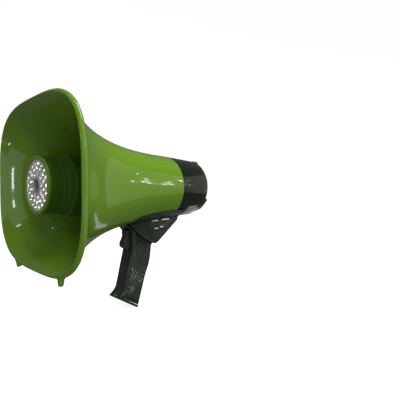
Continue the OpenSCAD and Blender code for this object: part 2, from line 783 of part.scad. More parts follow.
module battery_door() placed() color([0.13, 0.15, 0.14]) difference() {
    union() {
        on_base() translate([-grip_hw, hinge_r, 0]) cube([2 * grip_hw, door_len - hinge_r, door_t]);
        cross_rod(door_pivot[0], door_pivot[1], -grip_hw, grip_hw, hinge_r);
    }
    cross_rod(door_pivot[0], door_pivot[1], -13, 13, hinge_pin_r + slip);
    for (side = [-1, 1]) on_base() translate([side * knuckle_x - knuckle_w / 2 - gap, -1, -1])
        cube([knuckle_w + 2 * gap, door_t + 1.4, door_t + 2]);
}

module door_pin() placed() color("silver") {
    cross_rod(door_pivot[0], door_pivot[1], -12.5, 12.5, hinge_pin_r);
}

module handle_screws() placed() color("dimgray") {
    for (at = screw_at) {
        cross_rod(at[0], at[1], 0.2 - at[2], 7, screw_r);
        cross_rod(at[0], at[1], -at[2], -at[2] + screw_head_t, screw_head_r);
    }
}

horn_shell();
reflector_cup();
throat_tube();
lamp_bezel();
lamp_reflector();
lamp_leds();
lamp_board();
lens_barrel();
lens_glass();
driver_frame();
diaphragm();
driver_magnet();
driver_yoke();
rear_case();
rear_fascia();
mic_hood();
mic_capsule();
screen_bezel();
screen_glass();
screen_module();
main_board();
left_key_1();
left_key_2();
left_key_3();
right_key_1();
right_key_2();
right_key_3();
power_button();
infrared_button();
low_led();
normal_led();
infrared_led();
volume_wheel();
volume_pot();
trim_strip();
handle_left();
handle_right();
side_plate();
side_key_1();
side_key_2();
side_key_3();
side_key_4();
side_board();
label_plate();
trigger();
trigger_pin();
trigger_spring();
trigger_switch();
grip_pad_left();
grip_pad_right();
backstrap();
battery_cells();
battery_contacts();
battery_door();
door_pin();
strap_pin();
handle_screws();
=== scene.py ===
"""Hand-held electronic game caller: the looks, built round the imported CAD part.

Shapes are written in design millimetres: Y is the horn axis with the mouth towards -Y, Z is up,
+X is the side with the four side keys, and the origin is where the horn meets the rear case.
"""

from math import atan2, cos, hypot, pi, radians, sin, tan

import bmesh
import bpy
from mathutils import Matrix, Vector


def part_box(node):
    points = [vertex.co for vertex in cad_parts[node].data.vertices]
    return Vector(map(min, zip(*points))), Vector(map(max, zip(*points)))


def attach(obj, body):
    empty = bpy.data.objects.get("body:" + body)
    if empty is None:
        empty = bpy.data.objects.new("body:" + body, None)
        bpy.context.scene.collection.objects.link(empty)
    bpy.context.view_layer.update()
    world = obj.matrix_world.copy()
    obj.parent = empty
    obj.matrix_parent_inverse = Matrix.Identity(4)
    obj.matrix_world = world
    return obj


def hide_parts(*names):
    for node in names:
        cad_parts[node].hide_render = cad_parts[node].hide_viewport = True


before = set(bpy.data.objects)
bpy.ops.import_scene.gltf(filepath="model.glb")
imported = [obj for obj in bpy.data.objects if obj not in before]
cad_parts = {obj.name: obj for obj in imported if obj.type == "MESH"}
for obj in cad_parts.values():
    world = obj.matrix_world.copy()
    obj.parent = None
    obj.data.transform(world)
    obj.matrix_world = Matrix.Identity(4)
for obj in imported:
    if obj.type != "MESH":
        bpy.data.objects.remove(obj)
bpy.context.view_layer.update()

MM = 0.001
lamp_low, lamp_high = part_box("lamp_bezel")
ORIGIN = Vector((0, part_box("driver_frame")[0].y, (lamp_low.z + lamp_high.z) / 2))


def design_box(node):
    """Lowest and highest corner of a CAD node, in design millimetres."""
    low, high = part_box(node)
    return (low - ORIGIN) / MM, (high - ORIGIN) / MM


# ---------- driving sizes, as in the CAD ----------
MOUTH_W, MOUTH_H = 240, 209.4
HORN_LEN = 207
BARREL_R = 53.7
HORN_WALL = 2.6
LIP_R = 2.6
LIP_REACH = 3
LIP_Y = 1.5 - HORN_LEN
MOUTH_SQUARE = 3.28
FOOT_X, FOOT_Z, FOOT_SPLAY = 61, -109.5, radians(6)

LAMP_FRONT = design_box("lamp_bezel")[0].y
PLATE_FRONT = LAMP_FRONT + 1.5
CELL_ROWS = ((26.2, 18, 3.7), (20.2, 14, 3.5), (14.4, 9, 3.2))

REAR_LIFT = 1.3
CASE_R, RIM_R = 52.4, 49.6
CASE_LEN = 61.8
PANEL_Y = design_box("mic_hood")[0].y
HOOD_END = design_box("mic_hood")[1].y
HOOD_Z = 44.5
SCREEN_Z = 9.7
SCREEN_W, SCREEN_H = 40.8, 30.6

SLOPE_LOW, SLOPE_HIGH = (-26, -89.5), (18, -57)
HOUSING_HW, NOSE_HW, GRIP_HW = 20, 12.5, 13.5
SHELL_WALL = 2.2
GRIP_LEAN = 14.5
BASE_SLOPE = atan2(-23, 34)
SEAM = 0.06


# ---------- mesh tools ----------
def new_object(name, data):
    obj = bpy.data.objects.new(name, data)
    bpy.context.scene.collection.objects.link(obj)
    return obj


def solid(bm):
    """A working object, still in millimetres."""
    bmesh.ops.recalc_face_normals(bm, faces=bm.faces)
    mesh = bpy.data.meshes.new("work")
    bm.to_mesh(mesh)
    bm.free()
    return new_object("work", mesh)


def applied(obj, kind, **settings):
    modifier = obj.modifiers.new("step", kind)
    for key, value in settings.items():
        setattr(modifier, key, value)
    graph = bpy.context.evaluated_depsgraph_get()
    mesh = bpy.data.meshes.new_from_object(obj.evaluated_get(graph))
    obj.modifiers.clear()
    obj.data = mesh
    return obj


def combined(obj, operation, tools):
    for tool in tools:
        applied(obj, "BOOLEAN", operation=operation, solver="EXACT", object=tool)
        bpy.data.objects.remove(tool)
    return obj


def cut(obj, *tools):
    return combined(obj, "DIFFERENCE", tools)


def join(obj, *tools):
    return combined(obj, "UNION", tools)


def skin(rings, loop=False):
    """A closed mesh through rings of points; the end rings are capped unless the last joins the first."""
    bm = bmesh.new()
    rows = [[bm.verts.new(p) for p in ring] for ring in rings]
    count = len(rows[0])
    last = len(rows) if loop else len(rows) - 1
    for k in range(last):
        low, high = rows[k], rows[(k + 1) % len(rows)]
        for i in range(count):
            j = (i + 1) % count
            bm.faces.new((low[i], low[j], high[j], high[i]))
    if not loop:
        bm.faces.new(rows[0])
        bm.faces.new(list(reversed(rows[-1])))
    return bm


def arc_points(centre, radius, start, end, steps):
    return [(centre[0] + radius * cos(start + (end - start) * k / steps),
             centre[1] + radius * sin(start + (end - start) * k / steps)) for k in range(steps + 1)]


def rounded(points, radius, steps=5):
    """An outline whose corners become arcs; radius is one number or one for each corner."""
    result = []
    for i, point in enumerate(points):
        r = radius[i] if hasattr(radius, "__len__") else radius
        corner = Vector(point)
        to_last = Vector(points[i - 1]) - corner
        to_next = Vector(points[(i + 1) % len(points)]) - corner
        angle = to_last.angle(to_next)
        if r <= 0 or angle > radians(176):
            result.append(tuple(corner))
            continue
        reach = min(r / tan(angle / 2), 0.48 * to_last.length, 0.48 * to_next.length)
        a = corner + to_last.normalized() * reach
        b = corner + to_next.normalized() * reach
        for k in range(steps + 1):
            t = k / steps
            result.append(tuple(a * (1 - t) ** 2 + corner * 2 * t * (1 - t) + b * t * t))
    return result


def box_outline(u0, u1, v0, v1):
    return [(u0, v0), (u1, v0), (u1, v1), (u0, v1)]


def centred(u, v, width, height):
    return box_outline(u - width / 2, u + width / 2, v - height / 2, v + height / 2)


PLACES = {"x": lambda u, v, w: (w, u, v), "y": lambda u, v, w: (u, w, v), "z": lambda u, v, w: (u, v, w)}


def prism(outline, low, high, axis, soft_low=0.0, soft_high=0.0, segments=3):
    """An extruded outline: (y, z) along x, (x, z) along y or (x, y) along z, with softened end edges."""
    place = PLACES[axis]
    bm = skin([[place(u, v, w) for u, v in outline] for w in (low, high)])
    for soft, level in ((soft_low, low), (soft_high, high)):
        if soft > 0:
            ends = {v for v in bm.verts if abs(v.co["xyz".index(axis)] - level) < 1e-6}
            edges = [e for e in bm.edges if e.verts[0] in ends and e.verts[1] in ends]
            bmesh.ops.bevel(bm, geom=edges, offset=soft, segments=segments, profile=0.5,
                            affect="EDGES", clamp_overlap=True)
    return solid(bm)


def spin(profile, segments=160, lift=0.0):
    """A closed (radius, y) profile turned about the horn axis."""
    turns = [2 * pi * k / segments for k in range(segments)]
    bm = skin([[(r * cos(a), y, r * sin(a) + lift) for r, y in profile] for a in turns], loop=True)
    bmesh.ops.remove_doubles(bm, verts=bm.verts, dist=1e-4)
    bmesh.ops.dissolve_degenerate(bm, edges=bm.edges, dist=1e-5)
    return solid(bm)


def disc_profile(radius, low, high, soft):
    """(radius, y) profile of a disc with rounded edges."""
    return [(0, low)] + arc_points((radius - soft, low + soft), soft, -pi / 2, 0, 4) \
        + arc_points((radius - soft, high - soft), soft, 0, pi / 2, 4) + [(0, high)]


def moved(obj, *matrices):
    for matrix in matrices:
        obj.data.transform(matrix)
    return obj


def standing(place, direction):
    """The matrix that takes the Y axis to a place and a direction."""
    turn = Vector((0, 1, 0)).rotation_difference(Vector(direction)).to_matrix().to_4x4()
    return Matrix.Translation(Vector(place)) @ turn


def turned_at(profile, place, direction, segments=48):
    """A closed (radius, height) profile turned about a line through place."""
    return moved(spin(profile, segments), standing(place, direction))


def merged(name, objects):
    """Several working objects as one, without changing their shapes."""
    bm = bmesh.new()
    for obj in objects:
        bm.from_mesh(obj.data)
        bpy.data.objects.remove(obj)
    mesh = bpy.data.meshes.new(name)
    bm.to_mesh(mesh)
    bm.free()
    return new_object(name, mesh)


def piece(name, obj, material, body="root", replaces=(), sharp=32):
    """Finishes a working object: places it in the frame, shades it, hangs it on its body and hides the CAD
    parts it replaces.
    """
    obj.name = name
    obj.data.name = name
    obj.data.transform(Matrix.Translation(ORIGIN) @ Matrix.Scale(MM, 4))
    for polygon in obj.data.polygons:
        polygon.use_smooth = True
    obj.data.set_sharp_from_angle(angle=radians(sharp))
    obj.data.materials.clear()
    obj.data.materials.append(material)
    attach(obj, body)
    if replaces:
        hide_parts(*replaces)
    return obj


# ---------- materials ----------
def linked(tree, kind, inputs=None, **settings):
    node = tree.nodes.new(kind)
    for key, value in settings.items():
        setattr(node, key, value)
    for key, value in (inputs or {}).items():
        if hasattr(value, "links"):
            tree.links.new(value, node.inputs[key])
        else:
            node.inputs[key].default_value = value
    return node


def noise(tree, place, scale, detail=3.0, distortion=0.0):
    inputs = {"Vector": place, "Scale": scale, "Detail": detail, "Distortion": distortion}
    return linked(tree, "ShaderNodeTexNoise", inputs).outputs["Fac"]


def between(tree, share, low, high):
    """A colour between two others; each is a tuple or another node's output."""
    mix = linked(tree, "ShaderNodeMix", {"Factor": share}, data_type="RGBA")
    for socket, colour in ((6, low), (7, high)):
        if hasattr(colour, "links"):
            tree.links.new(colour, mix.inputs[socket])
        else:
            mix.inputs[socket].default_value = (*colour, 1)
    return mix.outputs[2]


def surface(name, dark, light, roughness, coat=0.0, metallic=0.0, grain=(900, 0.02), blotch=60,
            wear_and_edge_highlight=None, glow=None, specular=0.5, smudge=0.08):
    """A moulded or metal surface: colour drifts between two tones, convex edges get a lighter colour that is
    partly wear and partly a painted highlight, gloss and bump vary.

    grain is the scale and strength of the bump, blotch the scale of the drift, smudge the spread of the
    roughness, the edge colour argument the lighter colour of scuffed convex edges (partly wear, partly a
    painted highlight), and glow the colour and strength of emitted light.
    """
    material = bpy.data.materials.new(name)
    material.use_nodes = True
    tree = material.node_tree
    tree.nodes.clear()
    place = linked(tree, "ShaderNodeTexCoord").outputs["Object"]
    colour = between(tree, noise(tree, place, blotch), dark, light)
    # convex edges, found by pointiness and broken into patches by noise, take the edge colour: partly scuff
    # wear, partly a painted highlight
    if wear_and_edge_highlight:
        geometry = linked(tree, "ShaderNodeNewGeometry")
        edge = linked(tree, "ShaderNodeMapRange", {"Value": geometry.outputs["Pointiness"],
                                                   "From Min": 0.52, "From Max": 0.62})
        edge_patches = noise(tree, place, 420, 4.0)
        share = linked(tree, "ShaderNodeMath", {0: edge.outputs["Result"], 1: edge_patches}, operation="MULTIPLY")
        colour = between(tree, share.outputs[0], colour, wear_and_edge_highlight)
    gloss = linked(tree, "ShaderNodeMapRange",
                   {"Value": noise(tree, place, 35, 5.0, 0.6), "From Min": 0.3, "From Max": 0.7,
                    "To Min": max(roughness - smudge, 0.02), "To Max": roughness + smudge})
    bump = linked(tree, "ShaderNodeBump", {"Height": noise(tree, place, grain[0]), "Strength": grain[1],
                                           "Distance": 0.0004})
    shader = linked(tree, "ShaderNodeBsdfPrincipled",
                    {"Base Color": colour, "Roughness": gloss.outputs["Result"], "Metallic": metallic,
                     "Coat Weight": coat, "Coat Roughness": 0.04, "Specular IOR Level": specular,
                     "Normal": bump.outputs["Normal"]})
    if glow:
        shader.inputs["Emission Color"].default_value = (*glow[0], 1)
        shader.inputs["Emission Strength"].default_value = glow[1]
    output = linked(tree, "ShaderNodeOutputMaterial", {"Surface": shader.outputs["BSDF"]})
    output.is_active_output = True
    return material


HORN_GREEN = surface("horn_green", (0.14, 0.29, 0.016), (0.165, 0.33, 0.02), 0.16, coat=0.75, specular=0.1,
                     grain=(260, 0.012), blotch=9, wear_and_edge_highlight=(0.16, 0.36, 0.05), smudge=0.05)
# painted shade: the horn's green made several times darker for the cup and throat tube, which sit deep inside
# the horn
CUP_SHADED_GREEN = surface("cup_green", (0.035, 0.1, 0.007), (0.045, 0.125, 0.01), 0.24, coat=0.25,
                    grain=(300, 0.05), blotch=14, wear_and_edge_highlight=(0.12, 0.28, 0.04))
CASE_BLACK = surface("case_black", (0.008, 0.013, 0.006), (0.012, 0.018, 0.009), 0.14, coat=0.1,
                     specular=0.35, grain=(420, 0.08), wear_and_edge_highlight=(0.07, 0.08, 0.075))
PANEL_BLACK = surface("panel_black", (0.012, 0.017, 0.021), (0.016, 0.023, 0.029), 0.24, coat=0.35,
                      grain=(1500, 0.12), wear_and_edge_highlight=(0.08, 0.09, 0.1))
KEY_BLACK = surface("key_black", (0.016, 0.018, 0.026), (0.022, 0.025, 0.034), 0.42, grain=(2200, 0.15),
                    wear_and_edge_highlight=(0.09, 0.1, 0.11))
GRIP_BLACK = surface("grip_black", (0.01, 0.017, 0.009), (0.015, 0.024, 0.013), 0.3, coat=0.2,
                     grain=(1300, 0.16), wear_and_edge_highlight=(0.075, 0.085, 0.08))
PAD_BLACK = surface("pad_black", (0.014, 0.022, 0.013), (0.02, 0.03, 0.018), 0.2, coat=0.2,
                    grain=(1600, 0.12), wear_and_edge_highlight=(0.11, 0.125, 0.115))
SCREEN = surface("screen", (0.004, 0.005, 0.007), (0.006, 0.007, 0.01), 0.07, coat=1.0, grain=(200, 0.004))
SILVER = surface("lamp_silver", (0.86, 0.85, 0.83), (0.95, 0.94, 0.91), 0.16, metallic=0.6,
                 grain=(1800, 0.12), smudge=0.04)
LED = surface("led", (0.62, 0.56, 0.36), (0.8, 0.76, 0.6), 0.12, coat=1.0, grain=(1500, 0.05))
LENS_RING = surface("lens_ring", (0.3, 0.31, 0.31), (0.38, 0.39, 0.39), 0.25, coat=0.5, grain=(900, 0.06))
LENS = surface("lens", (0.006, 0.008, 0.018), (0.01, 0.014, 0.03), 0.05, coat=1.0, grain=(300, 0.004))
STEEL = surface("steel", (0.66, 0.66, 0.66), (0.76, 0.76, 0.75), 0.18, metallic=1.0, grain=(1600, 0.1))
TRIM_GREY = surface("trim_grey", (0.34, 0.36, 0.35), (0.4, 0.42, 0.41), 0.3, coat=0.3, grain=(1200, 0.1),
                    wear_and_edge_highlight=(0.3, 0.3, 0.3))
LABEL_GREY = surface("label_grey", (0.23, 0.26, 0.42), (0.27, 0.3, 0.47), 0.35, grain=(1800, 0.06))
WHEEL_BLACK = surface("wheel_black", (0.02, 0.022, 0.024), (0.03, 0.032, 0.034), 0.45, grain=(2000, 0.2),
                      wear_and_edge_highlight=(0.1, 0.1, 0.1))
# white print that also glows faintly: painted light, so the marks stay bright on the shaded sides
MARK_WHITE_GLOWING = surface("mark_white_glowing", (0.8, 0.81, 0.8), (0.88, 0.89, 0.88), 0.4, grain=(2600, 0.2),
                     glow=((1, 1, 1), 0.25))
LED_GREY = surface("led_grey", (0.3, 0.31, 0.3), (0.38, 0.4, 0.38), 0.18, coat=0.8, grain=(900, 0.03))
LED_LIT = surface("led_lit", (0.5, 0.8, 0.05), (0.62, 0.9, 0.08), 0.2, coat=0.8, grain=(900, 0.03),
                  glow=((0.55, 0.95, 0.05), 1.6))
FERRITE = surface("magnet", (0.03, 0.03, 0.032), (0.045, 0.045, 0.048), 0.6, grain=(900, 0.5))
FRAME_STEEL = surface("driver_metal", (0.3, 0.3, 0.31), (0.38, 0.38, 0.38), 0.35, metallic=0.9,
                      grain=(900, 0.2))
FILM = surface("diaphragm", (0.3, 0.2, 0.05), (0.4, 0.27, 0.08), 0.3, coat=0.4, grain=(1400, 0.2))
BOARD = surface("board", (0.01, 0.07, 0.025), (0.015, 0.1, 0.035), 0.35, coat=0.3, grain=(1400, 0.35))
CELL = surface("cell", (0.02, 0.06, 0.22), (0.03, 0.08, 0.28), 0.25, coat=0.6, grain=(600, 0.08))

NODE_MATERIALS = {
    CUP_SHADED_GREEN: ["throat_tube"], BOARD: ["lamp_board", "main_board", "side_board"],
    FRAME_STEEL: ["driver_frame", "driver_yoke"], FERRITE: ["driver_magnet"], FILM: ["diaphragm"],
    STEEL: ["mic_capsule", "screen_module", "trigger_pin", "trigger_spring", "door_pin",
            "battery_contacts"],
    WHEEL_BLACK: ["volume_pot"], GRIP_BLACK: ["trigger_switch"], CELL: ["battery_cells"],
}
for node_material, node_names in NODE_MATERIALS.items():
    for node_name in node_names:
        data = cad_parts[node_name].data
        data.materials.clear()
        data.materials.append(node_material)


# ---------- horn ----------
def bend(value, power):
    """One axis of a superellipse, from a cosine or a sine."""
    return (1 if value >= 0 else -1) * abs(value) ** (2 / power)


def flare(t, power):
    """How far the horn has opened at a share of its length."""
    return 0.03 * t + 0.97 * t ** power


def horn_point(y, grow, a):
    t = min(max(-y / HORN_LEN, 0), 1)
    width = BARREL_R + (MOUTH_W / 2 - LIP_R - BARREL_R) * flare(t, 4.4) + grow
    height = BARREL_R + (MOUTH_H / 2 - LIP_R - BARREL_R) * flare(t, 3.06) + grow
    power = 2 + (MOUTH_SQUARE - 2) * t ** 1.13
    return (width * bend(cos(a), power), y, height * bend(sin(a), power))


HORN_ROWS, HORN_SIDES = 64, 224


def horn_mesh():
    stations = [-(HORN_LEN - 4) * (1 - (1 - k / HORN_ROWS) ** 1.35) for k in range(HORN_ROWS)]
    profile = [(0, -0.6), (-0.6, 0)] + [(y, 0) for y in stations[1:]]
    for k in range(13):
        a = pi * (1 - k / 12)
        profile.append((LIP_Y - LIP_REACH * cos(a), LIP_R * sin(a) - 0.9 * max(0, cos(a))))
    profile += [(LIP_Y - LIP_REACH + 1.2, -2.2)]
    profile += [(y, -HORN_WALL) for y in reversed(stations)]
    rings = []
    for y, grow in profile:
        # the lip keeps the section of the mouth all round
        section = -HORN_LEN if y < stations[-1] else y
        ring = [horn_point(section, grow, 2 * pi * i / HORN_SIDES) for i in range(HORN_SIDES)]
        rings.append([(x, y, z) for x, _, z in ring])
    return solid(skin(rings, loop=True))


def foot_mesh(side):
    """A moulded peg that swells out of the lip, with a rounded tip."""
    profile = [(0, 0)] + arc_points((1.2, 1.8), 1.8, -pi / 2, 0, 5) \
        + [(3.3, 5), (3.7, 7.5), (4.5, 9.6), (4.6, 10.4), (0, 10.4)]
    tip = (side * FOOT_X, -HORN_LEN + 3.6, FOOT_Z)
    return turned_at(profile, tip, (side * sin(FOOT_SPLAY), 0, cos(FOOT_SPLAY)), 32)


horn = join(horn_mesh(), foot_mesh(1), foot_mesh(-1))
piece("horn", horn, HORN_GREEN, replaces=["horn_shell"], sharp=40)

# ---------- folded sound path and lamp ----------
CUP_RINGS, CUP_START, CUP_END = 7, -192.5, -152


def cup_side():
    """The cup's outside, widening towards the rear, with fine turned grooves."""
    points = []
    pitch = (CUP_END - CUP_START) / CUP_RINGS
    for k in range(CUP_RINGS):
        y, r = CUP_START + pitch * k, 35.4 + 6.6 * k / CUP_RINGS
        points += [(r, y), (r + 0.75, y + pitch - 0.9), (r + 0.15, y + pitch - 0.7)]
    return points


cup_outline = [(33.2, LAMP_FRONT + 3.05), (35.4, LAMP_FRONT + 3.05)] + cup_side() \
    + [(42, CUP_END), (50, -118), (47.8, -118), (39.8, -149), (39.8, -173), (3, -183), (3, -185.2),
       (34.2, -187.5), (33.2, -191)]
piece("sound_cup", spin(rounded(cup_outline, 0.12, 2), 192), CUP_SHADED_GREEN, replaces=["reflector_cup"])

bezel_profile = [(31.35, LAMP_FRONT + 2.9), (31.35, LAMP_FRONT + 1.5)] \
    + arc_points((32.6, LAMP_FRONT + 1.25), 1.2, pi, 1.5 * pi, 5) \
    + arc_points((34.2, LAMP_FRONT + 1.25), 1.2, -pi / 2, 0, 5) + [(35.4, LAMP_FRONT + 2.9)]
piece("lamp_ring", spin(bezel_profile, 192), HORN_GREEN, replaces=["lamp_bezel"])

CELL_DEPTH = 4.0
CELL_CENTRES = []
for row, (pitch, count, mouth) in enumerate(CELL_ROWS):
    for i in range(count):
        a = 2 * pi * (i + 0.5 * row) / count
        CELL_CENTRES.append((pitch * cos(a), pitch * sin(a), mouth))


def cell_depth(x, z):
    """Depth of the reflector at a point: a faceted dish round the nearest lamp cell."""
    cx, cz, mouth = min(CELL_CENTRES, key=lambda c: (x - c[0]) ** 2 + (z - c[1]) ** 2)
    distance = hypot(x - cx, z - cz)
    turn = atan2(z - cz, x - cx) % (pi / 4) - pi / 8
    reach = distance * cos(turn) / cos(pi / 8)
    if reach >= mouth:
        return 0.35 * (1 - cos((reach - mouth) * 1.4))
    if reach < 1.5:
        return CELL_DEPTH
    return CELL_DEPTH * (1 - ((reach - 1.5) / (mouth - 1.5)) ** 1.5)


DISH_INNER, DISH_OUTER, DISH_BACK = 9.1, 31.1, PLATE_FRONT + 5.9
DISH_ROWS, DISH_SIDES = 62, 360


def reflector_mesh():
    turns = [2 * pi * i / DISH_SIDES for i in range(DISH_SIDES)]
    front = []
    for k in range(DISH_ROWS + 1):
        r = DISH_INNER + (DISH_OUTER - DISH_INNER) * k / DISH_ROWS
        share = max(min(1.0, r - DISH_INNER, (DISH_OUTER - r) / 0.8), 0)
        ring = [(r * cos(a), r * sin(a)) for a in turns]
        front.append([(x, PLATE_FRONT + 0.1 + cell_depth(x, z) * share, z) for x, z in ring])
    inner, outer = [[(r * cos(a), DISH_BACK, r * sin(a)) for a in turns] for r in (DISH_INNER, DISH_OUTER)]
    return solid(skin([inner, *front, outer], loop=True))


piece("lamp_cells", reflector_mesh(), SILVER, replaces=["lamp_reflector"], sharp=24)

led_profile = [(0, 0)] + [(1.35, 0), (1.35, 0.7)] + arc_points((0, 0.7), 1.35, 0, pi / 2, 6)[1:]
leds = [turned_at(led_profile, (x, PLATE_FRONT + CELL_DEPTH + 0.2, z), (0, -1, 0), 20)
        for x, z, _ in CELL_CENTRES]
piece("lamp_emitters", merged("lamp_emitters", leds), LED, replaces=["lamp_leds"])

barrel_profile = rounded([(6.45, PLATE_FRONT + 6), (6.45, PLATE_FRONT - 0.3), (7.1, PLATE_FRONT - 1.15),
                          (8.1, PLATE_FRONT - 1.15), (9, PLATE_FRONT + 0.2), (9, PLATE_FRONT + 6)],
                         [0, 0.3, 0.4, 0.4, 0.4, 0])
piece("lens_ring", spin(barrel_profile, 96), LENS_RING, replaces=["lens_barrel"])
glass_profile = [(0, PLATE_FRONT + 4.4), (6.4, PLATE_FRONT + 4.4), (6.4, PLATE_FRONT + 1.6)] \
    + [(6.4 * cos(a), PLATE_FRONT + 1.6 - 1.3 * sin(a)) for a in [pi / 2 * k / 8 for k in range(1, 9)]]
piece("lens_dome", spin(glass_profile, 96), LENS, replaces=["lens_glass"])


# ---------- rear case ----------
def case_out(y):
    return CASE_R + (RIM_R + 0.35 - CASE_R) * y / CASE_LEN


def relief_tool():
    """Thumb relief on the -X side: a sloping cut that is open at the top, with a ledge below."""
    slope = prism([(-31, PANEL_Y + 2), (-31, PANEL_Y - 3), (-51, 51.5), (-70, 51.5), (-70, PANEL_Y + 2)],
                  -60, 70, "z")
    ledge = prism([(-20, -8), (-32.5, -13.5), (-70, -43), (-70, 70), (-20, 70)], 40, PANEL_Y + 3, "y")
    return combined(slope, "INTERSECT", [ledge])


case_profile = rounded([(CASE_R - 2.4, 0.15), (CASE_R, 0.15), (case_out(CASE_LEN), CASE_LEN),
                        (case_out(CASE_LEN) - 2.4, CASE_LEN)], [0.3, 0.7, 0.6, 0.3])
rear_case = cut(spin(case_profile, 224, lift=REAR_LIFT), relief_tool())
piece("rear_shell", rear_case, CASE_BLACK, replaces=["rear_case"])


def screen_outline(half_w, half_h, radius):
    return rounded(centred(0, SCREEN_Z, 2 * half_w, 2 * half_h), radius)


KEY_X = 26.7
LEFT_KEYS, RIGHT_KEYS = (21.5, 6.4, -7), (21.8, 8.4, -4.8)
KEY_W, KEY_H = 5, 4.4
POWER_AT, INFRARED_AT = (26, -22.5), (-23.5, -19.5)
LOW_AT, NORMAL_AT, INFRARED_LED_AT = (38, 9), (38, -5), (-30.5, -22.5)
BUTTON_R, LED_R, FIT = 3.5, 1.5, 0.2
PANEL_LOW = 60


def pierce(outline, high, flare_by):
    """A hole cutter along Y whose mouth at the panel face is chamfered."""
    centre = Vector((sum(p[0] for p in outline) / len(outline), sum(p[1] for p in outline) / len(outline)))

    def grown(by):
        result = []
        for p in outline:
            away = Vector(p) - centre
            result.append(centre + away * (1 + by / away.length))
        return result

    levels = ((PANEL_LOW, 0), (high - flare_by, 0), (high, flare_by), (high + 3, flare_by + 3))
    return solid(skin([[(p[0], y, p[1]) for p in grown(by)] for y, by in levels]))


def circle_outline(x, z, radius):
    return arc_points((x, z), radius, 0, 2 * pi, 40)[:-1]


def raised_field(low_outline, low_y, high_outline):
    """A hull from an outline up to another one on the panel's face, with soft edges."""
    bm = skin([[(x, low_y, z) for x, z in low_outline], [(x, PANEL_Y, z) for x, z in high_outline]])
    return applied(solid(bm), "BEVEL", width=1, segments=3, limit_method="ANGLE", angle_limit=radians(20),
                   miter_outer="MITER_ARC", use_clamp_overlap=True)


fascia_profile = [(0, 62), (RIM_R - 0.4, 62)] + [(RIM_R, 62.4), (RIM_R, 66.6)] \
    + arc_points((RIM_R - 1.9, 66.6), 1.9, 0.15, pi / 2 - 0.1, 6) + [(34, 70.4), (0, 70.4)]
fascia = spin(fascia_profile, 224, lift=REAR_LIFT)
upper_face = [(-31, -14), (31, -14), (31, 36.5), (16, 47.5), (-16, 47.5), (-31, 36.5)]
upper_base = [(-33, -14), (33, -14), (33, 38), (17, 50), (-17, 50), (-33, 38)]
lower_face = [(-33, -10), (33, -10), (43.5, -23), (30, -38), (-30, -38), (-43.5, -23)]
lower_base = [(-35, -8), (35, -8), (47.5, -23), (23, -49.5), (-23, -49.5), (-47.5, -23)]
upper_field = raised_field(upper_base, 68, upper_face)
lower_field = raised_field(lower_base, 63, lower_face)
shoulder = prism([(-46.5, -8), (-33.5, -8), (-33.5, 33), (-34, 33)], 50, 66, "y")
rings = [turned_at(disc_profile(4.6, 0, 1.5, 0.45), (x, PANEL_Y - 1, z), (0, 1, 0), 48)
         for x, z in (POWER_AT, INFRARED_AT)]
fascia = join(fascia, upper_field, lower_field, shoulder, *rings)
rim = spin([(0, 40), (RIM_R, 40), (RIM_R, 90), (0, 90)], 224, lift=REAR_LIFT)
fascia = combined(fascia, "INTERSECT", [rim])
wheel_frame = Matrix.Translation((0, 59.7, -34.2)) @ Matrix.Rotation(radians(-45), 4, "X")
wheel_slot = moved(prism(rounded(box_outline(-17, 17, -20, 30), 2), -3.6, 3.6, "z"), wheel_frame)
hollow = prism([(-29.6, 34.8), (-29.6, -10), (-38, -21.5), (-27, -33), (27, -33), (38, -21.5), (29.6, -10),
                (29.6, 34.8), (14.4, 44.8), (-14.4, 44.8)], PANEL_LOW, PANEL_Y - 2.4, "y")
HOLLOW_R = RIM_R - 2.4
back_hollow = cut(spin([(0, 61.9), (HOLLOW_R, 61.9), (HOLLOW_R, 66.5), (0, 66.5)], 96, lift=REAR_LIFT),
                  prism(box_outline(-70, -34, -100, 100), PANEL_LOW, 68, "y"))
holes = [pierce(screen_outline(22.95, 17.85, 1.2), PANEL_Y, 0.3)]
holes += [pierce(rounded(centred(side * KEY_X, z, KEY_W + 2 * FIT, KEY_H + 2 * FIT), 0.7), PANEL_Y, 0.3)
          for side, column in ((1, LEFT_KEYS), (-1, RIGHT_KEYS)) for z in column]
holes += [pierce(circle_outline(x, z, BUTTON_R + FIT), PANEL_Y + 0.5, 0.25)
          for x, z in (POWER_AT, INFRARED_AT)]
holes += [pierce(circle_outline(*INFRARED_LED_AT, LED_R + 0.1), PANEL_Y, 0.4)]
holes += [pierce(circle_outline(x, z, LED_R + 0.1), 70.2, 0.4) for x, z in (LOW_AT, NORMAL_AT)]
fascia = cut(fascia, hollow, back_hollow, relief_tool(), wheel_slot, *holes)
piece("control_panel", fascia, PANEL_BLACK, replaces=["rear_fascia"], sharp=28)

# ---------- microphone hood ----------
HOOD_HALF, HOOD_R = 6.5, 6.5


def hood_ring(radius, y):
    """A section of the hood: two half circles with straight sides between them."""
    outline = arc_points((HOOD_HALF, HOOD_Z), radius, -pi / 2, pi / 2, 16) \
        + arc_points((-HOOD_HALF, HOOD_Z), radius, pi / 2, 1.5 * pi, 16)
    return [(x, y, z) for x, z in outline]


hood_rings = [hood_ring(HOOD_R, PANEL_Y), hood_ring(HOOD_R, HOOD_END - 2.6)]
hood_rings += [hood_ring(r, y) for r, y in arc_points((HOOD_R - 1.4, HOOD_END - 1.4), 1.4, 0, pi / 2, 5)]
hood_rings += [hood_ring(r, HOOD_END - y) for r, y in ((4.6, 0.1), (4.2, 0.7), (3.9, 0.8))]
hood = solid(skin(hood_rings))
slots = [prism(rounded(centred(x, HOOD_Z, 1.8, 6.8), 0.8), PANEL_Y + 4, 90, "y") for x in (-4.5, 0, 4.5)]
capsule_bore = spin([(0, 0), (4.9, 0), (4.9, 6), (0, 6)], 48)
moved(capsule_bore, Matrix.Translation((0, PANEL_Y - 0.5, HOOD_Z)))
piece("hood", cut(hood, *slots, capsule_bore), PANEL_BLACK, replaces=["mic_hood"], sharp=30)

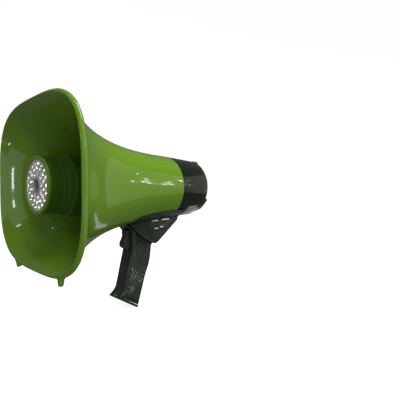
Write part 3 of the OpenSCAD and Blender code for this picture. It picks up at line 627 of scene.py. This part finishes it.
# ---------- screen, keys and lamps of the panel ----------
frame_ring = cut(prism(screen_outline(22.85, 17.75, 1.1), PANEL_Y - 3, PANEL_Y + 0.4, "y", soft_high=0.35),
                 pierce(screen_outline(SCREEN_W / 2, SCREEN_H / 2, 0.6), PANEL_Y + 0.4, 0.5))
piece("screen_frame", frame_ring, PANEL_BLACK, replaces=["screen_bezel"], sharp=30)
glass = prism(screen_outline(SCREEN_W / 2 - 0.05, SCREEN_H / 2 - 0.05, 0.6), PANEL_Y - 2.6, PANEL_Y - 0.4,
              "y", soft_high=0.25)
piece("screen_pane", glass, SCREEN, replaces=["screen_glass"])


def square_key(x, z):
    """A moulded key with rounded corners, a dished top and a flange below."""
    top = PANEL_Y + 0.9
    levels = [(70.6, 0), (top - 0.5, 0), (top - 0.15, 0.12), (top, 0.45), (top - 0.12, 0.9),
              (top - 0.2, 1.5)]
    rings = []
    for y, inset in levels:
        outline = centred(x, z, KEY_W - 2 * inset, KEY_H - 2 * inset)
        rings.append([(px, y, pz) for px, pz in rounded(outline, max(0.55 - 0.2 * inset, 0.2))])
    return join(solid(skin(rings)), prism(centred(x, z, KEY_W, KEY_H + 1.2), 70.2, 71.3, "y"))


for column, side, label in ((LEFT_KEYS, 1, "left_key"), (RIGHT_KEYS, -1, "right_key")):
    for number, z in enumerate(column, 1):
        node = f"{label}_{number}"
        piece(f"{node}_cap", square_key(side * KEY_X, z), KEY_BLACK, body=node, replaces=[node])

button_profile = [(0, 0), (BUTTON_R + 0.8, 0), (BUTTON_R + 0.8, 1.1), (BUTTON_R, 1.2), (BUTTON_R, 4.7)] \
    + arc_points((BUTTON_R - 0.6, 4.7), 0.6, 0, pi / 2, 5) + [(2.4, 5.22), (1.5, 5.12), (0, 5.05)]
for node, (x, z) in (("power_button", POWER_AT), ("infrared_button", INFRARED_AT)):
    button = turned_at(button_profile, (x, 70.2, z), (0, 1, 0), 56)
    piece(f"{node}_cap", button, KEY_BLACK, body=node, replaces=[node])

PANEL_LAMPS = (("low_led", LOW_AT, 71.4, LED_GREY), ("normal_led", NORMAL_AT, 71.4, LED_LIT),
               ("infrared_led", INFRARED_LED_AT, 75.8, LED_GREY))
for node, (x, z), top, lamp_material in PANEL_LAMPS:
    profile = [(0, 0), (LED_R, 0)] + arc_points((0, top - 64.6 - 1), LED_R, 0, pi / 2, 8)
    lamp = turned_at(profile, (x, 64.6, z), (0, 1, 0), 32)
    piece(f"{node}_dome", lamp, lamp_material, replaces=[node])

# ---------- volume wheel ----------
WHEEL_R, WHEEL_RIBS = 16, 36


def wheel_ring(height, inset):
    points = []
    for k in range(WHEEL_RIBS * 10):
        a = 2 * pi * k / (WHEEL_RIBS * 10)
        groove = (0.5 - 0.5 * cos(WHEEL_RIBS * a)) ** 3
        r = WHEEL_R - inset - 0.75 * groove * (1 - inset / 3)
        points.append((r * cos(a), r * sin(a), height))
    return points


wheel_levels = [(-3, 4), (-3, 1.4), (-2.7, 0.7), (-2.2, 0.25), (-1.6, 0)]
wheel_levels += [(-h, inset) for h, inset in reversed(wheel_levels)]
wheel = solid(skin([wheel_ring(h, inset) for h, inset in wheel_levels]))
shaft = spin([(0, -9.5), (2.4, -9.5), (2.4, 0), (0, 0)], 40)
moved(shaft, Matrix.Rotation(radians(90), 4, "X"))
wheel = moved(join(wheel, shaft), wheel_frame)
piece("thumb_wheel", wheel, WHEEL_BLACK, body="volume_wheel", replaces=["volume_wheel"])


# ---------- trim strip under the case ----------
def trim_mesh():
    rings = []
    for k in range(65):
        u = -1 + 2 * k / 64
        a = -pi / 2 + u * radians(48.5)
        thick = (1 - abs(u) ** 6) ** 0.5 if abs(u) < 1 else 0
        narrow = 1 - 0.35 * u * u
        rows = []
        for y, r_in, r_out in ((24, case_out(24), 53.4), (58, case_out(58), 52.15)):
            mid = 41 + (y - 41) * narrow
            inner = case_out(mid) + 0.02
            outer = inner + 0.35 + (r_out - r_in - 0.4) * thick
            rows.append((mid, inner, outer))
        (y0, i0, o0), (y1, i1, o1) = rows
        section = rounded([(i0, y0), (o0, y0), (o1, y1), (i1, y1)], [0.05, 0.8, 0.8, 0.05], 4)
        rings.append([(r * cos(a), y, r * sin(a) + REAR_LIFT) for r, y in section])
    return solid(skin(rings))


piece("grey_strip", trim_mesh(), TRIM_GREY, replaces=["trim_strip"])

# ---------- handle ----------
FRONT_LINE = [(-73, -67.2), (-73, -92), (-79.4, -121), (-86.2, -151), (-88.4, -157.4), (-94.9, -163.9)]
BACK_LINE = [(-33.2, -86), (-33.4, -99), (-37.2, -122), (-45.4, -140), (-54.4, -166), (-60.9, -186.6)]
GRIP_ROWS, GRIP_STEPS = 64, 48


def along(line, t):
    """A smooth curve through the points of a line (Catmull-Rom), t from 0 to 1."""
    k = min(max(int(t * (len(line) - 1)), 0), len(line) - 2)
    u = t * (len(line) - 1) - k
    p = [Vector(line[min(max(k + i, 0), len(line) - 1)]) for i in (-1, 0, 1, 2)]
    return 0.5 * (2 * p[1] + (p[2] - p[0]) * u + (2 * p[0] - 5 * p[1] + 4 * p[2] - p[3]) * u * u
                  + (3 * p[1] - p[0] - 3 * p[2] + p[3]) * u ** 3)


def grip_width(t):
    """Half width of the grip: a slight waist for the palm and its full width at the base."""
    return GRIP_HW - 0.5 * sin(pi * min(t / 0.85, 1)) ** 2


def grip_point(t, share, side, lift=0.0, wall=0.0):
    """On the grip's side: share runs straight from -1 at the front edge to 1 at the back edge."""
    front, back = along(FRONT_LINE, t), along(BACK_LINE, t)
    middle, half = (front + back) / 2, (back - front).length / 2 - wall
    place = middle + (back - front).normalized() * half * share
    power = 6 + 6 * t
    out = (grip_width(t) - wall) * max(0.0, 1 - abs(share) ** power) ** (1 / power) + lift
    return (side * max(out, SEAM if wall == 0 else 0.0), place[0], place[1])


def grip_half(side, wall=0.0, start=0.0, end=1.0):
    shares = [sin(pi / 2 * (-1 + 2 * i / GRIP_STEPS)) for i in range(GRIP_STEPS + 1)]
    rings = []
    for k in range(GRIP_ROWS + 1):
        t = start + (end - start) * k / GRIP_ROWS
        rings.append([grip_point(t, share, side, wall=wall) for share in shares])
    return solid(skin(rings))


def side_prism(outline, half, side, soft, low=SEAM):
    """One half of a part of the handle, from the parting plane out to its rounded side."""
    if side > 0:
        return prism(outline, low, half, "x", soft_high=soft, segments=4)
    return prism(outline, -half, -low, "x", soft_low=soft, segments=4)


housing_outline = rounded([(-79, -38), (-79, -57.5), (-71, -67.4), (-60, -77.7), (-47, -85), (-33, -92),
                           SLOPE_LOW, SLOPE_HIGH, (21, -50), (21, -38)], [0, 3, 6, 8, 8, 3, 2.5, 3, 2, 0])
nose_outline = rounded([(-88.5, -44), (-88.5, -57), (-79, -63), (-73, -67.2), (-73, -97), (-33, -95),
                        (-33, -44)], [0, 2, 2, 0, 2, 2, 0])
housing_room = [(-77, -38), (-77, -56.5), (-69.5, -65.6), (-58.8, -75.5), (-46, -82.6), (-34, -89),
                (-27, -86.8), (15.6, -55.4), (18.4, -49), (18.4, -38)]
nose_room = [(-85.5, -44), (-85.5, -55.4), (-78, -60.4), (-70, -64.8), (-62, -66), (-62, -95), (-38, -95),
             (-38, -44)]
CRADLE_TOP = [(-84, -60), (-78, -47), (-40, -41), (-10, -40), (22, -40)]
HORN_GAP, CRADLE_T = 0.5, 2.5
plate_outline = [(-47, -54.9), (3, -54.2), (5, -57.4), (-22.5, -79.5), (-40, -81), (-48, -68)]
plate_ledge = [(-45.5, -55.6), (2, -54.9), (3.4, -57.4), (-22.7, -78.2), (-39.4, -79.7), (-46.8, -67.6)]
TRIGGER_PIVOT = (-69.5, -72.5)
TRIGGER_HW = 6
PIN_R = 1.5
BASE_FRONT, DOOR_T, DOOR_LEN = (-97, -167), 3.4, hypot(34, 23)
HINGE_R, HINGE_PIN_R = DOOR_T / 2, 0.9
on_base = Matrix.Translation((0, *BASE_FRONT)) @ Matrix.Rotation(BASE_SLOPE, 4, "X")
DOOR_PIVOT = tuple(on_base @ Vector((0, HINGE_R, HINGE_R)))[1:]
KNUCKLE_X, KNUCKLE_W = 9.3, 5.6


def rod(y, z, x0, x1, radius, soft=0, segments=40):
    """A round rod across the handle; its ends may be soft."""
    profile = rounded([(0, x0), (radius, x0), (radius, x1), (0, x1)], [0, soft, soft, 0])
    return moved(spin(profile, segments), Matrix.Rotation(radians(-90), 4, "Z"), Matrix.Translation((0, y, z)))


def upright(profile, x=0.0):
    """A closed (radius, height) profile turned about the strap line."""
    place = Matrix.Translation((-17.5, -70, -168)) @ Matrix.Rotation(radians(-GRIP_LEAN), 4, "X")
    return moved(spin(profile, 64), Matrix.Rotation(radians(90), 4, "X"), Matrix.Translation((x, 0, 0)), place)


def strap_ears():
    upper = rounded([(0, 5), (6.2, 5), (6.2, 13), (3.4, 27), (0, 27)], [0, 1.2, 4, 2.5, 0], 6)
    lower = rounded([(0, -12), (6.2, -12), (6.2, -5), (0, -5)], [0, 3, 1.0, 0], 6)
    return [cut(upright(shape), prism(box_outline(-120, -20, -200, -80), -13.2, 40, "x"),
                upright([(0, -9), (2.65, -9), (2.65, 9), (0, 9)], x=-1.5)) for shape in (upper, lower)]


def cradle_top(y):
    for (y0, z0), (y1, z1) in zip(CRADLE_TOP, CRADLE_TOP[1:]):
        if y <= y1:
            return z0 + (z1 - z0) * (y - y0) / (y1 - y0)
    return CRADLE_TOP[-1][1]


def under_point(y, grow, a):
    """On the underside of the horn, or of the case behind the joint; a is measured from straight down."""
    if y <= 0:
        return horn_point(y, grow, a - pi / 2)
    return ((CASE_R + grow) * sin(a), y, REAR_LIFT - (CASE_R + grow) * cos(a))


def cradle_wing(side):
    """A wing that follows the underside of the horn, with a rounded rim."""
    rings = []
    for y in [-80.5 + 80.4 * k / 30 for k in range(31)] + [0.1 + 21.8 * k / 8 for k in range(9)]:
        top = cradle_top(y)
        steps = [pi / 2 * k / 400 for k in range(401)]
        rim = next(a for a in steps if under_point(y, CRADLE_T, a)[2] >= top)
        foot = next(a for a in steps if under_point(y, CRADLE_T, a)[0] >= NOSE_HW - 1)
        outside = [(CRADLE_T + HORN_GAP, foot + (rim - foot) * k / 16) for k in range(17)]
        middle, half = HORN_GAP + CRADLE_T / 2, CRADLE_T / 2
        edge = [(grow, rim + rise / CASE_R) for grow, rise in arc_points((middle, 0), half, 0, pi, 8)[1:-1]]
        inside = [(HORN_GAP, a) for _, a in reversed(outside)]
        ring = [under_point(y, grow, a) for grow, a in outside + edge + inside]
        rings.append([(side * x, v, z) for x, v, z in ring])
    return solid(skin(rings))


def horn_tool():
    """The horn's own outside, a little grown, which the handle's cradle is cut with."""
    stations = [0.5 - 118 * k / 20 for k in range(21)]
    turns = [2 * pi * i / 96 for i in range(96)]
    return solid(skin([[horn_point(y, HORN_GAP - 0.05, a) for a in turns] for y in stations]))


def handle_half(side):
    """Housing, nose, grip and cradle wing of one side, hollow, with half of the door's hinge."""
    half = side_prism(housing_outline, HOUSING_HW, side, 1.5)
    half = join(half, side_prism(nose_outline, NOSE_HW, side, 2), grip_half(side), cradle_wing(side))
    case_r = CASE_R + HORN_GAP
    case_tool = spin([(0, -1), (case_r, -1), (case_r, 29), (0, 29)], 128, lift=REAR_LIFT)
    trigger_slot = prism(box_outline(-82, -69, -99, -66.6), -TRIGGER_HW - 0.3, TRIGGER_HW + 0.3, "x")
    half = cut(half, side_prism(housing_room, HOUSING_HW - SHELL_WALL, side, 0, low=-1),
               side_prism(nose_room, NOSE_HW - SHELL_WALL, side, 0, low=-1),
               grip_half(side, wall=SHELL_WALL, start=-0.02, end=1.04),
               horn_tool(), case_tool, trigger_slot, rod(*TRIGGER_PIVOT, -12, 12, PIN_R))
    middle = side * KNUCKLE_X
    low, high = middle - KNUCKLE_W / 2, middle + KNUCKLE_W / 2
    web = moved(prism(box_outline(0.4, 3, HINGE_R, 5.6), low, high, "x"), on_base)
    knuckle = join(rod(*DOOR_PIVOT, low, high, HINGE_R, 0.15), web)
    return cut(join(half, knuckle), rod(*DOOR_PIVOT, -12.5, 12.5, HINGE_PIN_R))


left_half = handle_half(1)
left_half = cut(left_half, prism(rounded(plate_outline, 2.2), HOUSING_HW - 2, HOUSING_HW + 1, "x"),
                prism(rounded(plate_ledge, 1.6), 10, HOUSING_HW + 1, "x"))
piece("handle_left_half", left_half, GRIP_BLACK, replaces=["handle_left"])
right_half = handle_half(-1)
SCREWS = ((-50, -99, GRIP_HW), (2, -60, HOUSING_HW))
right_half = cut(right_half, *[rod(y, z, -half - 1, -half + 1.7, 3.1) for y, z, half in SCREWS])
right_half = join(right_half, *strap_ears())
piece("handle_right_half", right_half, GRIP_BLACK, replaces=["handle_right"])

# ---------- chequered pads and ribbed back strap ----------
PAD_ROWS, PAD_COLUMNS = 230, 96
PAD_TOP, PAD_END = 0.17, 0.93
PAD_FRONT, PAD_BACK = -0.8, 0.74
DIAMOND_W, DIAMOND_H = 4.6, 5.1


def diamond(u, v):
    """Height share of a chequering pyramid at a place on the pad, in millimetres."""
    a = (u / DIAMOND_W + v / DIAMOND_H) % 1
    b = (u / DIAMOND_W - v / DIAMOND_H) % 1
    return min(min(a, 1 - a), min(b, 1 - b)) * 2


GRIP_LENGTH = (Vector(FRONT_LINE[0]) - Vector(FRONT_LINE[-1])).length


def pad_mesh(side):
    """A chequered field that follows the grip's side, closed underneath."""
    bm = bmesh.new()
    top, low = [], []
    for k in range(PAD_ROWS + 1):
        t = PAD_TOP + (PAD_END - PAD_TOP) * k / PAD_ROWS
        half = (along(FRONT_LINE, t) - along(BACK_LINE, t)).length / 2
        over, under = [], []
        for i in range(PAD_COLUMNS + 1):
            share = PAD_FRONT + (PAD_BACK - PAD_FRONT) * i / PAD_COLUMNS
            edge = min(k, PAD_ROWS - k) / 5, min(i, PAD_COLUMNS - i) / 4
            border = min(1.0, *edge)
            lift = 0.1 + 0.3 * border + 1.3 * diamond(share * half, t * GRIP_LENGTH) * (border >= 1)
            over.append(bm.verts.new(grip_point(t, share, side, lift=lift)))
            under.append(bm.verts.new(grip_point(t, share, side, lift=-0.15)))
        top.append(over)
        low.append(under)
    for grid in (top, low):
        for k in range(PAD_ROWS):
            for i in range(PAD_COLUMNS):
                bm.faces.new((grid[k][i], grid[k][i + 1], grid[k + 1][i + 1], grid[k + 1][i]))
    edge_walk = [(0, i) for i in range(PAD_COLUMNS)] + [(k, PAD_COLUMNS) for k in range(PAD_ROWS)] \
        + [(PAD_ROWS, i) for i in range(PAD_COLUMNS, 0, -1)] + [(k, 0) for k in range(PAD_ROWS, 0, -1)]
    for n, (k, i) in enumerate(edge_walk):
        k2, i2 = edge_walk[(n + 1) % len(edge_walk)]
        bm.faces.new((top[k][i], top[k2][i2], low[k2][i2], low[k][i]))
    return solid(bm)


for side, node in ((1, "grip_pad_left"), (-1, "grip_pad_right")):
    piece(f"{node}_field", pad_mesh(side), PAD_BLACK, replaces=[node], sharp=25)


SPINE_TOP, SPINE_END, SPINE_HW = 0.19, 0.955, 6.2
SPINE_ROWS, SPINE_RIBS = 260, 24


def backstrap_mesh():
    """A raised spine down the back of the grip, with cross ribs."""
    rings = []
    for k in range(SPINE_ROWS + 1):
        t = SPINE_TOP + (SPINE_END - SPINE_TOP) * k / SPINE_ROWS
        front, back = along(FRONT_LINE, t), along(BACK_LINE, t)
        out = (back - front).normalized()
        rib = (0.5 + 0.5 * cos(2 * pi * t * SPINE_RIBS)) ** 2
        ends = min(1.0, k / 8, (SPINE_ROWS - k) / 8)
        half = SPINE_HW * (0.8 + 0.2 * ends)
        ring = []
        for i in range(25):
            u = -1 + i / 12
            crown = 0.15 + (0.55 + 0.55 * rib * (abs(u) < 0.8)) * ends * (1 - abs(u) ** 6)
            sink = 0.42 * (abs(u) * half / GRIP_HW) ** 2 * 5
            place = back + out * (crown - sink)
            ring.append((u * half, place[0], place[1]))
        deep = back - out * 2.0
        ring += [(0.8 * half, deep[0], deep[1]), (-0.8 * half, deep[0], deep[1])]
        rings.append(ring)
    return solid(skin(rings))


piece("ribbed_spine", backstrap_mesh(), GRIP_BLACK, replaces=["backstrap"], sharp=25)

# ---------- side plate, keys, label, screws ----------
SIDE_KEYS = ((-29, -59), (-14, -57.5), (-28, -71.5), (-18.5, -69.5))
plate = prism(rounded(plate_outline, 2.0), HOUSING_HW - 1.9, HOUSING_HW + 0.3, "x", soft_high=0.5)
SIDE_KEY_W, SIDE_KEY_H = 5.2, 4.2
key_holes = [prism(rounded(centred(y, z, SIDE_KEY_W + 2 * FIT, SIDE_KEY_H + 2 * FIT), 0.8), 10, 30, "x")
             for y, z in SIDE_KEYS]
piece("side_panel", cut(plate, *key_holes), GRIP_BLACK, replaces=["side_plate"])
for number, (y, z) in enumerate(SIDE_KEYS, 1):
    node = f"side_key_{number}"
    cap_outline = rounded(centred(y, z, SIDE_KEY_W, SIDE_KEY_H), 0.8)
    cap = prism(cap_outline, 17.3, HOUSING_HW + 1, "x", soft_high=0.5)
    dish = turned_at([(0, 0), (1.9, 0), (1.5, -0.25), (0, -0.4)], (HOUSING_HW + 1.001, y, z), (1, 0, 0), 32)
    lug = prism(centred(y, z, SIDE_KEY_W + 1, SIDE_KEY_H + 0.6), 16.8, 17.8, "x")
    piece(f"{node}_cap", cut(join(cap, lug), dish), KEY_BLACK, body=node, replaces=[node])

slope_vector = Vector(SLOPE_HIGH) - Vector(SLOPE_LOW)
slope_place = Matrix.Translation((0, SLOPE_LOW[0], SLOPE_LOW[1])) \
    @ Matrix.Rotation(-atan2(slope_vector[0], slope_vector[1]), 4, "X")
label = prism(rounded(box_outline(-18.4, 18.4, 31.3, 46.5), 1.2), 0, 0.8, "y", soft_high=0.3)
piece("blank_label", moved(label, slope_place), LABEL_GREY, replaces=["label_plate"])


def screw(place, direction, radius):
    """A pan screw head with a cross recess."""
    profile = [(0, -1.4), (radius, -1.4), (radius, -0.35)] \
        + arc_points((radius - 0.35, -0.35), 0.35, 0, pi / 2, 4) + [(0, 0)]
    head = turned_at(profile, place, direction, 40)
    arms = []
    for long_x, long_z in ((radius * 0.62, radius * 0.16), (radius * 0.16, radius * 0.62)):
        arm = prism(rounded(centred(0, 0, 2 * long_x, 2 * long_z), radius * 0.1), -0.9, 1, "y")
        arms.append(moved(arm, standing(place, direction)))
    return cut(head, *arms)


heads = [screw((-half + 0.05, y, z), (-1, 0, 0), 2.95) for y, z, half in SCREWS]
shafts = [rod(y, z, -half + 1.3, 7, PIN_R, 0.2) for y, z, half in SCREWS]
piece("side_screws", merged("side_screws", heads + shafts), STEEL, replaces=["handle_screws"])

# ---------- trigger ----------
trigger_outline = rounded([(-74.6, -68.4), (-83.6, -87), (-83, -88.6), (-83.8, -92), (-77.5, -96.5),
                           (-74.5, -96.5), (-71.4, -90), (-70.6, -78), (-66, -76.5), (-66, -69.6),
                           (-73.6, -68.4)],
                          [0, 1.5, 1, 2, 2.5, 1, 1, 1, 1, 1, 0], 5)
trigger = prism(trigger_outline, -TRIGGER_HW, TRIGGER_HW, "x", soft_low=0.9, soft_high=0.9)
trigger = cut(trigger, rod(*TRIGGER_PIVOT, -20, 20, PIN_R + 0.05))
piece("talk_trigger", trigger, GRIP_BLACK, body="trigger", replaces=["trigger"])

# ---------- battery door ----------
door_outline = rounded(box_outline(-GRIP_HW, GRIP_HW, HINGE_R, DOOR_LEN), [0, 0, 2, 2], 8)
door = prism(door_outline, 0, DOOR_T - 0.05, "z", soft_low=1.1, soft_high=0.3, segments=4)
grip_lines = [rod(30 + 2.2 * k, -0.1, -8, 8, 0.5, 0.4, 20) for k in range(4)]
door = join(moved(cut(door, *grip_lines), on_base), rod(*DOOR_PIVOT, -13.4, 13.4, HINGE_R - 0.02, 0.5))
notches = [prism(centred(side * KNUCKLE_X, 1.4, KNUCKLE_W + 2 * FIT, 4.8), -1, 5, "z") for side in (-1, 1)]
notches = [moved(notch, on_base) for notch in notches]
door = cut(door, rod(*DOOR_PIVOT, -13, 13, HINGE_PIN_R + 0.05), *notches)
piece("door_cover", door, GRIP_BLACK, body="battery_door", replaces=["battery_door"])

pin = upright(rounded([(0, -8), (2.6, -8), (2.6, 8), (0, 8)], [0, 0.4, 0.4, 0]), x=-1.5)
piece("strap_bar", pin, STEEL, replaces=["strap_pin"])


# ---------- printed marks: plain dashes and transport arrows, no lettering; their white also glows faintly, which is painted light ---
MARK_T = 0.06


def panel_mark(outline):
    return prism(outline, PANEL_Y - 0.01, PANEL_Y + MARK_T, "y")


def bar(x, z, width, height):
    return panel_mark(centred(x, z, width, height))


def dashes(x, z, count, length=1, height=1.7, pitch=2.1):
    """A row of short upright dashes centred on a place."""
    start = x - pitch * (count - 1) / 2
    return [bar(start + pitch * k, z, length, height) for k in range(count)]


def arrow(x, z, way):
    return panel_mark([(x - 0.9 * way, z - 1.5), (x + 1.35 * way, z), (x - 0.9 * way, z + 1.5)])


first_z, second_z, third_z = [z + 4.6 for z in RIGHT_KEYS]
panel_marks = [arrow(-KEY_X - 1.2, first_z, 1), arrow(-KEY_X + 1.4, first_z, 1)]
panel_marks += [arrow(-KEY_X - 1.4, second_z, -1)]
panel_marks += [bar(-KEY_X + x, second_z, 0.6, 2.8) for x in (0.7, 1.9)]
panel_marks += [arrow(-KEY_X - 1.2, third_z, -1), arrow(-KEY_X + 1.4, third_z, -1)]
square_z = LEFT_KEYS[0] + 4.7
square_hole = prism(rounded(centred(KEY_X, square_z, 1.4, 1.4), 0.3), PANEL_LOW, 90, "y")
panel_marks += [cut(panel_mark(rounded(centred(KEY_X, square_z, 3, 3), 0.6)), square_hole)]
for z in LEFT_KEYS[1:]:
    panel_marks += dashes(KEY_X, z + 4.4, 4, 0.8, 1.6, 1.5)
for x, z, count in ((21, -30.5, 8), (-26, -27.5, 9), (-3, -17.5, 7), (-3, -21.5, 7)):
    panel_marks += dashes(x, z, count)
piece("panel_marks", merged("panel_marks", panel_marks), MARK_WHITE_GLOWING)

SIDE_DASHES = ((-33.5, -54.5, 7), (-10.5, -54, 9), (-30.5, -67.3, 4), (-18.7, -65.6, 4))
side_marks = []
for y, z, count in SIDE_DASHES:
    for k in range(count):
        outline = centred(y + (k - (count - 1) / 2) * 1.9, z, 1.5, 1.6)
        side_marks.append(prism(outline, HOUSING_HW, HOUSING_HW + 0.35, "x"))
piece("side_marks", merged("side_marks", side_marks), MARK_WHITE_GLOWING)


# ---------- stage, light, camera ----------
def stage_material():
    material = bpy.data.materials.new("pale_stage")
    material.use_nodes = True
    shader = material.node_tree.nodes["Principled BSDF"]
    shader.inputs["Base Color"].default_value = (0.9, 0.9, 0.9, 1)
    shader.inputs["Roughness"].default_value = 0.7
    shader.inputs["Emission Color"].default_value = (1, 1, 1, 1)
    shader.inputs["Emission Strength"].default_value = 0.86
    return material


def backdrop():
    """A pale round floor whose rim curves up into a wall all round; it isn't mirrored in glossy pieces."""
    wall, radius = 4.0, 1.2
    profile = [(0.001, 0), (1.2, 0)] + [(wall - radius + radius * sin(a), radius - radius * cos(a))
                                        for a in [pi / 2 * k / 16 for k in range(17)]] + [(wall, 4.0)]
    sides = 96
    bm = bmesh.new()
    turns = [2 * pi * i / sides for i in range(sides)]
    rows = [[bm.verts.new((r * cos(a), r * sin(a), z)) for a in turns] for r, z in profile]
    for low, high in zip(rows, rows[1:]):
        for i in range(sides):
            bm.faces.new((low[i], low[(i + 1) % sides], high[(i + 1) % sides], high[i]))
    mesh = bpy.data.meshes.new("floor")
    bm.to_mesh(mesh)
    bm.free()
    obj = new_object("floor", mesh)
    obj.visible_glossy = obj.visible_diffuse = obj.visible_shadow = False
    for polygon in mesh.polygons:
        polygon.use_smooth = True
    mesh.materials.append(stage_material())


def studio_light(name, spot, azimuth, elevation, distance, size, radiance, colour=(1, 1, 1)):
    """An area light in a direction from a spot on the object, where it shows as a reflection.

    Its radiance is its brightness whatever its size.
    """
    turn, rise = radians(azimuth), radians(elevation)
    away = Vector((cos(rise) * cos(turn), cos(rise) * sin(turn), sin(rise)))
    light = bpy.data.lights.new(name, "AREA")
    light.shape = "RECTANGLE"
    light.size, light.size_y = size
    light.energy = radiance * pi * size[0] * size[1]
    light.color = colour
    obj = new_object(name, light)
    obj.location = ORIGIN + Vector(spot) * MM + distance * away
    obj.rotation_euler = (-away).to_track_quat("-Z", "Y").to_euler()
    obj.visible_camera = False


backdrop()
CENTRE = (0, 0, 0)
studio_light("window", CENTRE, 62, 6, 1.25, (0.95, 0.95), 0.5, (1, 1, 0.82))
for k in range(4):
    studio_light(f"streak_{k}", (54, -79 + 24 * k, 6), 46.5, 4 + 2.2 * k, 1.3, (0.01, 0.05), 17)
studio_light("spot_low", (58, -106, 6), 53.7, 3.8, 1.3, (0.03, 0.012), 45)
studio_light("spot_middle", (56, -87, 7), 48.5, 5.2, 1.3, (0.03, 0.012), 45)
studio_light("spot_high", (56, -97, 17), 54, 15, 1.3, (0.02, 0.02), 40)
studio_light("low_pane", (75, -168, -44), 113, -18, 1.2, (0.3, 0.4), 0.9)
studio_light("top_box", CENTRE, -5, 68, 1.4, (0.8, 0.8), 8.5)
studio_light("side_box", CENTRE, 5, 12, 1.5, (0.5, 0.9), 2.2)
studio_light("low_fill", CENTRE, -5, -25, 1.4, (0.5, 0.5), 1.2)
studio_light("front_fill", CENTRE, -50, 40, 1.8, (0.5, 0.5), 0.6)
studio_light("front_haze", (-112, -195, 0), -78, 2, 1.6, (0.55, 0.9), 0.75)
studio_light("front_core", (-102, -196, 11), -79, 1, 1.5, (0.06, 0.07), 18)
studio_light("grip_edge", (GRIP_HW, -80, -130), -32, -15, 1.2, (0.05, 0.8), 9)
studio_light("glint_top", (GRIP_HW, -70, -105), -33, 37, 1.3, (0.06, 0.14), 28)
studio_light("glint_bottom", (GRIP_HW, -78, -145), -26, 28, 1.3, (0.06, 0.2), 26)
studio_light("front_dot", (-56, -162, -61), -92, 65, 1.3, (0.02, 0.02), 80)
studio_light("side_dot", (-99, -201, 60), -92, -17, 1.3, (0.04, 0.04), 30)
studio_light("front_high", (-91, -194, -56), -85, 22, 1.5, (0.14, 0.06), 12)
for number, (azimuth, elevation) in enumerate(((-135, 65), (-128, 61), (-142, 69))):
    studio_light(f"ceiling_{number}", CENTRE, azimuth, elevation, 1.6, (0.03, 0.03), 60)

world = bpy.data.worlds.new("studio")
world.use_nodes = True
world.node_tree.nodes["Background"].inputs["Color"].default_value = (1.0, 1.0, 0.95, 1)
world.node_tree.nodes["Background"].inputs["Strength"].default_value = 0.13
bpy.context.scene.world = world
bpy.context.scene.view_settings.view_transform = "Standard"

# the lens and the camera's place were solved from the photo's outlines
camera_data = bpy.data.cameras.new("camera")
camera_data.sensor_width = 36
camera_data.lens = 25.607
camera_data.clip_start = 0.01
camera = new_object("camera", camera_data)
camera.location = ORIGIN + Vector((0.36964, -0.34217, -0.00536))
camera.rotation_euler = (radians(88.109), radians(-0.326), radians(39.561))
bpy.context.scene.camera = camera
